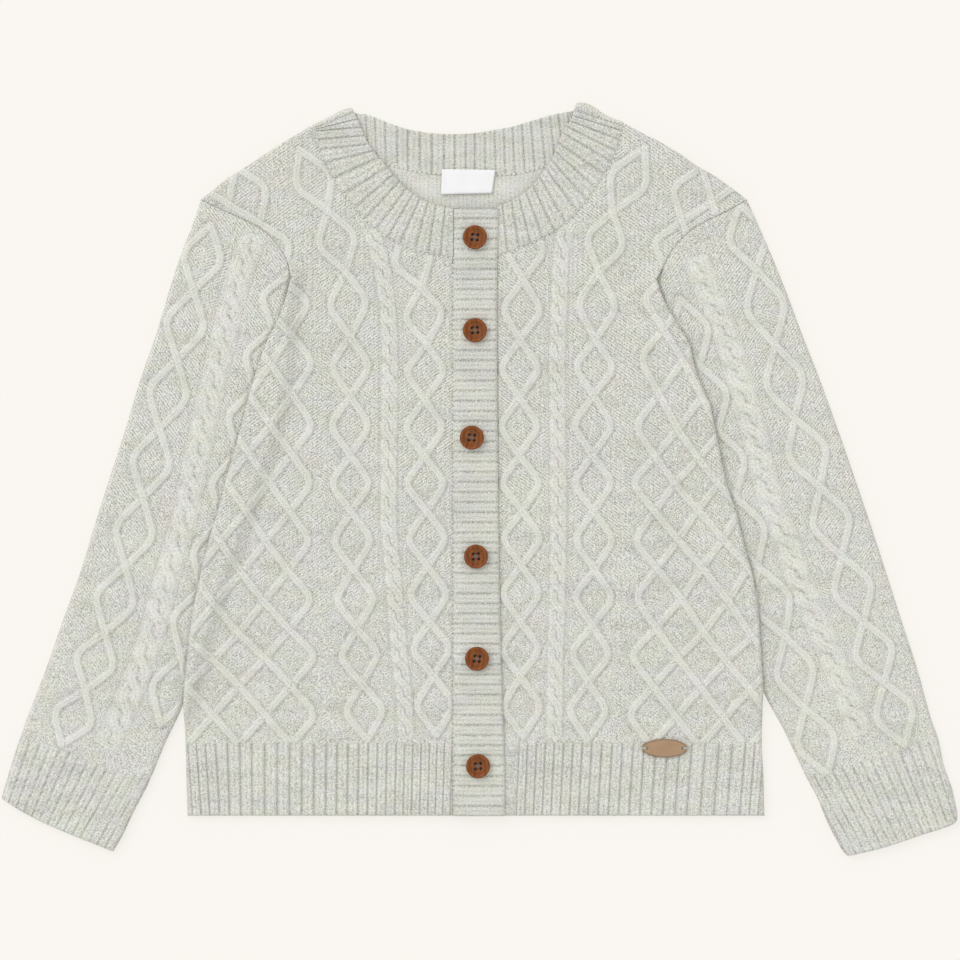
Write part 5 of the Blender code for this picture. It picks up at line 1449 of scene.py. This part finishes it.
def numbers_on(outline, edge):
    """Numbers of the outline's points that make up an edge, in the outline's order."""
    first = int(np.argmin(np.linalg.norm(outline - edge[0], axis=1)))
    last = int(np.argmin(np.linalg.norm(outline - edge[-1], axis=1)))
    count = len(outline)
    forward = (last - first) % count
    if forward > count // 2:
        first, last, forward = last, first, (first - last) % count
    return [(first + i) % count for i in range(forward + 1)]


def clear_of_ends(path, reach):
    where = travelled(path)
    return path[(where > reach) & (where < where[-1] - reach)]


def strip(name, rings, material):
    """A closed strip through rings: each has its points, face, hollow and yarn, all of one count."""
    rings, face, hollow, yarn = (np.array(values) for values in zip(*rings))
    stations, around = rings.shape[:2]
    points = rings.reshape(-1, 3)
    cloth = Cloth(points[:, :2])
    cloth.face, cloth.hollow, cloth.yarn = face.ravel(), hollow.ravel(), yarn.reshape(-1, 2)
    shell = Shell()
    shell.add(points[:, :2], points[:, 2], cloth)
    row = np.arange(stations - 1)[:, None] * around
    here, beyond = np.arange(around), (np.arange(around) + 1) % around
    one, two = (row + here).ravel(), (row + beyond).ravel()
    shell.faces.append(np.stack([one, two, two + around], 1))
    shell.faces.append(np.stack([one, two + around, one + around], 1))
    fan = np.stack([np.zeros(around - 2, int), here[1:-1], here[2:]], 1)
    shell.faces += [fan[:, ::-1], fan + (stations - 1) * around]
    return shell.build(name, material, merge=True)


class CARDIGAN_OT_neckband(bpy.types.Operator):
    """Knit the ribbed neckband, which folds over at both neck points"""

    bl_idname = "cardigan.neckband"
    bl_label = "Neckband"

    def execute(self, context):
        knit = context.scene.cardigan_knit
        left, right = np.array(BAND_GROOVES_L), np.array(BAND_GROOVES_R)[::-1]
        behind = np.array(BAND_GROOVES_BACK)
        seam, free = smooth(BACK_SEAM, FINE_STEP), smooth(BACK_FREE, FINE_STEP)
        behind = np.column_stack([behind[:, 0], np.interp(behind[:, 0], *seam.T),
                                  behind[:, 1], np.interp(behind[:, 1], *free.T)])
        stations = band_stations(NECK_SEAM_L[::-1], NECK_FREE_L[::-1], left, 0.0)
        stations[:4] = [(*station[:4], max(station[4], BAND_START)) for station in stations[:4]]
        stations += fold_stations(stations[-1], 0.0, math.pi)
        stations += band_stations(BACK_SEAM, BACK_FREE, behind, math.pi)[1:-1]
        beyond = band_stations(NECK_SEAM_R, NECK_FREE_R, right, 0.0)
        stations += fold_stations(beyond[0], math.pi, 0.0) + beyond
        rings = [band_ring(station, knit.rib_rise / MM) for station in stations]
        piece = strip("neckband_rib", rings, knit_material("knit", knit))
        finish_piece(piece, ["neckband"])
        return {"FINISHED"}


def rib_places(ribs):
    """Where the rings of points lie along a number of ribs, counted in ribs."""
    return np.append(np.add.outer(np.arange(ribs), RIB_SHARES).ravel(), ribs)


def across_band(width, rings):
    """Places across a band of a width, closest at its two edges."""
    from_seam, (first, last, count), from_free = rings
    between = np.linspace(first, width - last, count)
    return np.concatenate([from_seam, between, width - np.array(from_free)])


def band_stations(seam, free, grooves, turn):
    """Places across the band, several to each rib, from one end of its two edges to the other."""
    edges = []
    for table, ends in ((seam, grooves[:, :2]), (free, grooves[:, 2:])):
        edge = smooth(table, FINE_STEP)
        lengths = travelled(edge)
        nearest = [lengths[np.argmin(np.linalg.norm(edge - end, axis=1))] for end in ends]
        knots = np.array([0.0, *np.maximum.accumulate(nearest), lengths[-1]])
        count = rib_places(len(knots) - 1)
        edges.append(at_lengths(edge, np.interp(count, np.arange(len(knots)), knots)))
    return [(f, s, np.zeros(2), turn, c % 1.0) for s, f, c in zip(*edges, count)]


def fold_stations(station, first, last):
    """Places at a neck point, where the band turns over about its own line."""
    free, seam = station[:2]
    line = free - seam
    outward = np.array((-line[1], line[0])) / np.linalg.norm(line)
    outward *= 1.0 if outward[1] > 0 else -1.0
    shares = np.linspace(0.0, 1.0, BAND_FOLDS)[1:-1]
    return [(free, seam, outward, first + (last - first) * share, share) for share in shares]


def band_ring(station, rise):
    """Ring across the band, and its looks; the angle turns its outer face from up to down."""
    free, seam, outward, angle, share = station
    middle = FRONT_LEVEL - SEAM / 2
    inward = (free - seam) / np.linalg.norm(free - seam)
    seam = seam + inward * SHUT
    width = np.linalg.norm(free - seam)
    out = np.append(outward * math.sin(angle), math.cos(angle))
    folded = angle / math.pi
    crest = rib_height(share, rise)
    peak = BAND_PEAKS[int(seam[0] > 0.0)] * math.sin(angle)
    across = across_band(width, BAND_RINGS)
    gap = np.minimum(across, width - across + BAND_THICKER)
    drop = np.maximum(below_round(across, BAND_ROUND[0]), below_round(width - across, BAND_ROUND[1]))
    rounding = smoothstep(gap, 0.0, BAND_RISE)
    outer = SEAM / 2 + WALL + crest * (1.0 - folded) * rounding - drop
    inner = SEAM / 2 + (drop + (rise - crest) * rounding) * folded + 0.5 * drop * (1.0 - folded)
    ring, places = [], np.concatenate([across, across[::-1]])
    for a, depth in zip(places, np.concatenate([outer, inner[::-1]])):
        swell = math.exp(-((a / width - BAND_PEAK_AT[0]) / BAND_PEAK_AT[1]) ** 2)
        ring.append(np.append(seam + inward * a + outward * peak * swell, middle) + out * depth)
    # Painted shade in the grooves between the ribs and along the seam
    face, groove = rib_shade(share, BAND_FACE, BAND_GROOVE)
    hollow = np.maximum(groove, SEAM_GROOVE * np.exp(-(places / SEAM_SHADE[0]) ** 2))
    yarn = np.stack([np.full(len(ring), (share - 0.5) * BAND_PITCH), places], 1)
    return np.array(ring), np.full(len(ring), face), hollow, yarn


class CARDIGAN_OT_plackets(bpy.types.Operator):
    """Knit the top placket with its ribs and the plain placket beneath it"""

    bl_idname = "cardigan.plackets"
    bl_label = "Plackets"

    def execute(self, context):
        knit = context.scene.cardigan_knit
        material = knit_material("knit", knit)
        piece = placket("placket_top_rib", PLACKET_TOP, PLACKET_SEAM_X, PLACKET_LEVEL - FRONT_LEVEL,
                        knit.rib_rise / MM, material)
        finish_piece(piece, ["placket_top"])
        piece = placket("placket_under_rib", PLACKET_TOP - UNDER_PLACKET_DROP, UNDER_PLACKET_X,
                        0.0, 0.0, material, TUCK + SEAM)
        finish_piece(piece, ["placket_under"])
        return {"FINISHED"}


def placket(name, top, start, step, rise, material, short=0.0):
    """A strip of ribs up the front, which steps up beside its seam; every fourth point below."""
    places = rib_places(PLACKET_RIBS)
    stations = top * (1.0 - places / PLACKET_RIBS)
    edge = smooth(PLACKET_EDGE, 2.0)
    edge_x = np.interp(stations[::-1], edge[::-1, 1], edge[::-1, 0])[::-1] - short
    at_seam, at_free, at_ends = PLACKET_ROUND
    rings = []
    for y, end, share in zip(stations, edge_x, places % 1.0):
        width = end - start
        across = across_band(width, PLACKET_RINGS)
        level = FRONT_LEVEL + step * smoothstep(across, 0.0, PLACKET_KNEE)
        drop = np.maximum(below_round(across, at_seam), below_round(width - across, at_free))
        drop = np.maximum(drop, below_round(min(y, top - y), at_ends))
        crest = rib_height(share, rise) * smoothstep(
            np.minimum(across + PLACKET_THICKER, width - across), 0.0, BAND_RISE)
        along = np.full(len(across), y)
        upper = np.column_stack([start + across, along, level + WALL - drop + crest])
        lower = np.column_stack([start + across, along, level])[::-4]
        ring = np.vstack([upper, lower])
        # Painted shade in the grooves between the ribs and along the seam
        face, groove = rib_shade(share, BAND_FACE, PLACKET_GROOVE)
        hollow = np.zeros(len(ring))
        hollow[:len(upper)] = np.maximum(
            groove, SEAM_SHADE[1] * np.exp(-(across / SEAM_SHADE[0]) ** 2))
        yarn = np.stack([np.full(len(ring), (share - 0.5) * top / PLACKET_RIBS),
                         np.concatenate([across, across[::-4]])], 1)
        rings.append((ring, np.full(len(ring), face), hollow, yarn))
    return strip(name, rings, material)


def start_fresh():
    """Nothing is selected, so an operator acts on the next new piece alone."""
    if bpy.context.object and bpy.context.object.mode != "OBJECT":
        bpy.ops.object.mode_set(mode="OBJECT")
    bpy.ops.object.select_all(action="DESELECT")


def chosen(piece):
    """Selects one piece alone and makes it active."""
    start_fresh()
    piece.select_set(True)
    bpy.context.view_layer.objects.active = piece


def cylinder(sides, radius, thick, place=(0.0, 0.0, 0.0)):
    """A new cylinder, selected alone; its sizes are in millimetres and its place in metres."""
    start_fresh()
    bpy.ops.mesh.primitive_cylinder_add(vertices=sides, radius=radius * MM, depth=thick * MM,
                                        location=place)
    return bpy.context.object


def select_faces(piece, wanted):
    """Selects the faces whose normal passes the test, in edit mode."""
    bpy.ops.mesh.select_mode(type="FACE")
    bpy.ops.mesh.select_all(action="DESELECT")
    work = bmesh.from_edit_mesh(piece.data)
    for face in work.faces:
        if wanted(face.normal):
            face.select_set(True)
    bmesh.update_edit_mesh(piece.data)


def cut_holes(piece, centres, radius, sides):
    """Round holes straight through a piece, at the given centres in millimetres."""
    for x, y in centres:
        cutter = cylinder(sides, radius, CUTTER_LENGTH, (x * MM, y * MM, 0.0))
        chosen(piece)
        cut = piece.modifiers.new("hole", "BOOLEAN")
        cut.object, cut.operation, cut.solver = cutter, "DIFFERENCE", "EXACT"
        bpy.ops.object.modifier_apply(modifier=cut.name)
        bpy.data.objects.remove(cutter, do_unlink=True)


def bevelled(piece, width):
    chosen(piece)
    edge = piece.modifiers.new("edge", "BEVEL")
    edge.width, edge.segments, edge.limit_method, edge.angle_limit = width * MM, 3, "ANGLE", 0.6
    bpy.ops.object.modifier_apply(modifier=edge.name)


def smoothed(piece, angle=35.0):
    chosen(piece)
    bpy.ops.object.shade_smooth_by_angle(angle=math.radians(angle))


def marked(mesh, name, value):
    """Gives a mesh an attribute, worked out at each point from its X and Y in millimetres."""
    layer = mesh.attributes.new(name, "FLOAT", "POINT")
    for vertex in mesh.vertices:
        layer.data[vertex.index].value = float(value(*(c / MM for c in vertex.co.xy)))


def only_material(mesh, material):
    mesh.materials.clear()
    mesh.materials.append(material)


def placed_copy(piece, name, turn, centre, height):
    """A copy with its own mesh, turned about Z and moved there within its mesh."""
    mesh = piece.data.copy()
    mesh.name = name
    mesh.transform(Matrix.Translation(to_frame((*centre, height)).tolist())
                   @ Matrix.Rotation(turn, 4, "Z"))
    return in_scene(name, mesh)


class CARDIGAN_OT_buttons(bpy.types.Operator):
    """Turn the wooden buttons, drill their holes and sew them on"""

    bl_idname = "cardigan.buttons"
    bl_label = "Buttons"

    def execute(self, context):
        trims = context.scene.cardigan_trims
        button, thread = turned_button(trims), sewn_cross(trims)
        base = PLACKET_LEVEL + WALL + PLACKET_RIB_RISE + SEAM
        for number, centre in enumerate(BUTTONS, 1):
            turn = math.radians(BUTTON_TURN * (-1) ** number)
            piece = placed_copy(button, "wooden_button_%d" % number, turn, centre, base)
            finish_piece(piece, ["button_%d" % number])
            piece = placed_copy(thread, "button_thread_%d" % number, turn, centre, base)
            finish_piece(piece)
        for item in (button, thread):
            bpy.data.objects.remove(item, do_unlink=True)
        return {"FINISHED"}


def turned_button(trims):
    """A four-hole button with a raised rim round a flat dish, standing on Z 0."""
    button = cylinder(72, BUTTON_RADIUS, BUTTON_THICK)
    bpy.ops.object.mode_set(mode="EDIT")
    select_faces(button, lambda normal: normal.z < -0.5)
    bpy.ops.transform.resize(value=(BUTTON_FOOT, BUTTON_FOOT, 1.0))
    select_faces(button, lambda normal: normal.z > 0.5)
    bpy.ops.mesh.inset(thickness=BUTTON_RIM * MM)
    bpy.ops.mesh.inset(thickness=BUTTON_SLOPE * MM)
    bpy.ops.transform.translate(value=(0.0, 0.0, -BUTTON_SLOPE * MM))
    bpy.ops.object.mode_set(mode="OBJECT")
    bevelled(button, BUTTON_BEVEL)
    half = BUTTON_HOLE_PITCH / 2
    cut_holes(button, [(x, y) for x in (-half, half) for y in (-half, half)], BUTTON_HOLE, 24)
    smoothed(button)
    mesh = button.data
    mesh.transform(Matrix.Translation((0.0, 0.0, BUTTON_THICK * MM / 2)))
    for layer in list(mesh.uv_layers):
        mesh.uv_layers.remove(layer)
    grain = mesh.uv_layers.new(name="grain")
    for loop in mesh.loops:
        place = mesh.vertices[loop.vertex_index].co / MM
        grain.data[loop.index].uv = (place.x + GRAIN_SLANT * place.z, place.y)

    def dark(x, y):
        """The side is darkest, and the dish has painted shade: a little darker than the rim, most so along
        its edge.
        """
        inwards = BUTTON_RADIUS - math.hypot(x, y)
        side = 1.0 - smoothstep(inwards, *DARK_SIDE)
        dish = DISH_SHADE * (1 + (inwards < DISH_CORNER_SHADE[1])) * (inwards > DISH_CORNER_SHADE[0])
        return np.maximum(side, dish)

    marked(mesh, "rim", dark)
    only_material(mesh, wood_material(trims))
    return button


def sewn_cross(trims):
    """Two crossing bundles of thread from hole to hole, and the knot beneath the button."""
    material = thread_material("button_thread", tuple(trims.thread))
    half = BUTTON_HOLE_PITCH / 2
    dish = BUTTON_THICK - BUTTON_SLOPE
    made = []
    for number, (x, y) in enumerate(((half, half), (half, -half))):
        start_fresh()
        bpy.ops.curve.primitive_nurbs_path_add()
        curve = bpy.context.object
        raised = THREAD_RISE[0] + THREAD_RISE[1] * number
        down = ((THREAD_SHARE, -THREAD_DOWN), (THREAD_SHARE, 0.1))
        profile = (*((-share, height) for share, height in down), (0.0, raised), *down[::-1])
        for point, (share, height) in zip(curve.data.splines[0].points, profile):
            point.co = (x * share * MM, y * share * MM, (dish + height) * MM, 1.0)
        curve.data.splines[0].use_endpoint_u = True
        curve.data.bevel_depth, curve.data.bevel_resolution = THREAD_HALF * MM, 2
        curve.data.use_fill_caps = True
        bpy.ops.object.convert(target="MESH")
        made.append(bpy.context.object)
    radius, thick, height = THREAD_KNOT
    made.append(cylinder(24, radius, thick, (0.0, 0.0, height * MM)))
    start_fresh()
    for item in made:
        item.select_set(True)
    bpy.context.view_layer.objects.active = made[0]
    bpy.ops.object.join()
    smoothed(made[0], 60.0)
    only_material(made[0].data, material)
    return made[0]


class CARDIGAN_OT_label(bpy.types.Operator):
    """Weave the plain neck label, with painted shade where its ends are sewn down"""

    bl_idname = "cardigan.label"
    bl_label = "Neck label"

    def execute(self, context):
        trims = context.scene.cardigan_trims
        outline = closed_outline(even(np.vstack([LABEL, LABEL[:1]]), EDGE_STEP / 2))
        left, right = LABEL[0][0], LABEL[1][0]

        def top(points):
            cloth = Cloth(points)
            gap = distance(points, [looped(outline)])
            ends = np.minimum(points[:, 0] - left, right - points[:, 0])
            place, width, depth = LABEL_SEAM
            # Painted shade along the seam at each end
            cloth.hollow = depth * np.exp(-((ends - place) / width) ** 2)
            height, pace, reach = LABEL_CURL
            curl = height * (np.sin(points[:, 0] * pace) * smoothstep(gap, 0.0, reach) - 1.0)
            return LABEL_LEVEL + LABEL_THICK - below_round(gap, LABEL_ROUND) + curl, cloth

        piece = panel("label_ribbon", outline, top, lambda p: np.full(len(p), LABEL_LEVEL),
                      LABEL_PITCH, label_material(trims), base_pitch=UNDER_PITCH)
        finish_piece(piece, ["neck_label"])
        return {"FINISHED"}


class CARDIGAN_OT_tag(bpy.types.Operator):
    """Cut the small leather tag and sew it on through its two holes"""

    bl_idname = "cardigan.tag"
    bl_label = "Hem tag"

    def execute(self, context):
        trims = context.scene.cardigan_trims
        tag = cylinder(96, 1.0, TAG_THICK)
        for vertex in tag.data.vertices:
            for axis, power in enumerate(TAG_POWERS):
                value = vertex.co[axis] / MM
                vertex.co[axis] = TAG_HALF[axis] * MM * math.copysign(abs(value) ** power, value)
        bpy.ops.object.mode_set(mode="EDIT")
        select_faces(tag, lambda normal: normal.z > 0.5)
        bpy.ops.mesh.inset(thickness=TAG_RIM * MM)
        bpy.ops.object.mode_set(mode="OBJECT")
        bevelled(tag, TAG_BEVEL)
        cut_holes(tag, [(way * TAG_HOLE_REACH, 0.0) for way in (-1, 1)], TAG_HOLE, 20)
        smoothed(tag)

        def dark(x, y):
            """The leather is darker along its cut edge."""
            return smoothstep(math.hypot(x / TAG_HALF[0], y / TAG_HALF[1]), *TAG_DARK)

        marked(tag.data, "rim", dark)
        only_material(tag.data, leather_material(trims))
        piece = placed_copy(tag, "leather_tag", 0.0, TAG_CENTRE, TAG_LEVEL + TAG_THICK / 2)
        bpy.data.objects.remove(tag, do_unlink=True)
        finish_piece(piece, ["hem_tag"])
        stitches = []
        reach, width, apart = TAG_STITCH
        for way in (-1, 1):
            for shift in (-apart, apart):
                inner = np.array(TAG_CENTRE) + (way * TAG_STITCH_START, shift)
                outer = inner + (way * reach, 0.0)
                stitches.append((inner, outer, TAG_LEVEL + TAG_THICK + TAG_STITCH_RISE, width))
        piece = bead_chain("tag_stitches", stitches, thread_material("tag_thread", tuple(trims.tag_stitch)))
        finish_piece(piece)
        return {"FINISHED"}


def bead_chain(name, stitches, material):
    """Short bulging stitches, each from one point to another at a height and of a width."""
    around, rings = 6, BEAD_RINGS
    points, faces = [], []
    for start, end, height, width in stitches:
        start, end = np.array(start), np.array(end)
        run = (end - start) / np.linalg.norm(end - start)
        aside = np.array((-run[1], run[0]))
        first = len(points)
        points.append((*start, height - 0.2 * width))
        for share, swell in rings:
            centre = start + (end - start) * share
            for k in range(around):
                angle = 2 * math.pi * k / around
                place = centre + aside * math.cos(angle) * width / 2 * swell
                points.append((*place, height + math.sin(angle) * width * BEAD_RISE * swell))
        points.append((*end, height - 0.2 * width))
        last = len(points) - 1
        for k in range(around):
            j = (k + 1) % around
            faces.append((first, first + 1 + j, first + 1 + k))
            for ring in range(len(rings) - 1):
                a = first + 1 + ring * around
                faces.append((a + k, a + j, a + around + j, a + around + k))
            a = first + 1 + (len(rings) - 1) * around
            faces.append((a + k, a + j, last))
    mesh = bpy.data.meshes.new(name)
    mesh.from_pydata(to_frame(points).tolist(), [], faces)
    merge_and_turn(mesh)
    mesh.shade_smooth()
    mesh.materials.append(material)
    return in_scene(name, mesh)


def linked(path, face, sink, share, width):
    """Stitches laid end to end along a path, a little below the face of the cloth."""
    length = travelled(path)[-1]
    count = max(1, round(length / LINK_PITCH))
    starts = np.arange(count) * length / count
    first = at_lengths(path, starts + LINK_PITCH * (1.0 - share) / 2)
    last = at_lengths(path, starts + LINK_PITCH * (1.0 + share) / 2)
    return [(a, b, face + WALL - sink, width) for a, b in zip(first, last)]


class CARDIGAN_OT_seams(bpy.types.Operator):
    """Link the neckband and the placket to the body with rows of small stitches"""

    bl_idname = "cardigan.seams"
    bl_label = "Seams"

    def execute(self, context):
        knit = context.scene.cardigan_knit
        down = np.array([(PLACKET_SEAM_X, y) for y in PLACKET_LINKS])
        stitches = linked(smooth(NECK_SEAM_L, LINE_STEP), FRONT_LEVEL, *FRONT_LINK)
        stitches += linked(smooth(NECK_SEAM_R, LINE_STEP), FRONT_LEVEL, *FRONT_LINK)
        stitches += linked(smooth(BACK_SEAM, LINE_STEP), BACK_LEVEL, *BACK_LINK)
        stitches += linked(down, FRONT_LEVEL, *FRONT_LINK)
        piece = bead_chain("linking_stitches", stitches, knit_material("knit", knit))
        finish_piece(piece)
        return {"FINISHED"}


class CARDIGAN_OT_stage(bpy.types.Operator):
    """Set out the pale floor, the light and the camera that looks straight down"""

    bl_idname = "cardigan.stage"
    bl_label = "Stage"

    def execute(self, context):
        scene, stage = context.scene, context.scene.cardigan_stage
        start_fresh()
        bpy.ops.mesh.primitive_plane_add(size=FLOOR_SIZE, location=(0.0, 0.0, -FLOOR_GAP))
        floor = context.object
        floor.name = "floor"
        maker = Maker("floor", Roughness=0.6, Specular_IOR_Level=0.2)
        inputs = maker.shader.inputs
        inputs["Base Color"].default_value = (*((1.0 - FLOOR_GLOW) * c for c in stage.floor), 1.0)
        inputs["Emission Color"].default_value = (*stage.floor, 1.0)
        inputs["Emission Strength"].default_value = FLOOR_GLOW
        floor.data.materials.append(maker.material)
        world = bpy.data.worlds.new("sky")
        world.use_nodes = True
        scene.world = world
        sky = world.node_tree.nodes["Background"]
        sky.inputs["Color"].default_value = (*WHITE, 1.0)
        sky.inputs["Strength"].default_value = stage.sky
        start_fresh()
        bpy.ops.object.light_add(type="SUN", location=KEY_PLACE,
                                 rotation=[math.radians(angle) for angle in KEY_TURN])
        light = context.object
        light.name = "key_light"
        light.data.energy, light.data.angle = stage.key, math.radians(KEY_SPREAD)
        x, y, height = CAMERA_PLACE
        bpy.ops.object.camera_add(location=(x, y, stage.camera_height + height),
                                  rotation=(0.0, 0.0, 0.0))
        camera = context.object
        camera.name = "camera"
        camera.data.sensor_width = SENSOR
        camera.data.lens = SENSOR * stage.camera_height / stage.picture_width
        camera.data.clip_start, camera.data.clip_end = 0.01, 20.0
        scene.camera = camera
        scene.view_settings.view_transform = "Standard"
        return {"FINISHED"}


# Panel ------------

PIECES = (CARDIGAN_OT_back, CARDIGAN_OT_fronts, CARDIGAN_OT_sleeves, CARDIGAN_OT_neckband,
          CARDIGAN_OT_plackets, CARDIGAN_OT_buttons, CARDIGAN_OT_label, CARDIGAN_OT_tag,
          CARDIGAN_OT_seams, CARDIGAN_OT_stage)


class CARDIGAN_PT_panel(bpy.types.Panel):
    """Lists the pieces of the cardigan and their settings"""

    bl_idname = "CARDIGAN_PT_panel"
    bl_label = "Cardigan"
    bl_space_type = "VIEW_3D"
    bl_region_type = "UI"
    bl_category = "Cardigan"

    def draw(self, context):
        for name, kind in SETTINGS.items():
            box = self.layout.box()
            settings = getattr(context.scene, name)
            for field in kind.__annotations__:
                box.prop(settings, field)
        for piece in PIECES:
            self.layout.operator(piece.bl_idname)


CLASSES = (*SETTINGS.values(), *PIECES, CARDIGAN_PT_panel)


def register():
    for item in CLASSES:
        bpy.utils.register_class(item)
    for name, kind in SETTINGS.items():
        setattr(bpy.types.Scene, name, bpy.props.PointerProperty(type=kind))


def unregister():
    for name in SETTINGS:
        delattr(bpy.types.Scene, name)
    for item in reversed(CLASSES):
        bpy.utils.unregister_class(item)


def main():
    register()
    for piece in PIECES:
        group, name = piece.bl_idname.split(".")
        getattr(getattr(bpy.ops, group), name)()


if __name__ == "__main__":
    main()
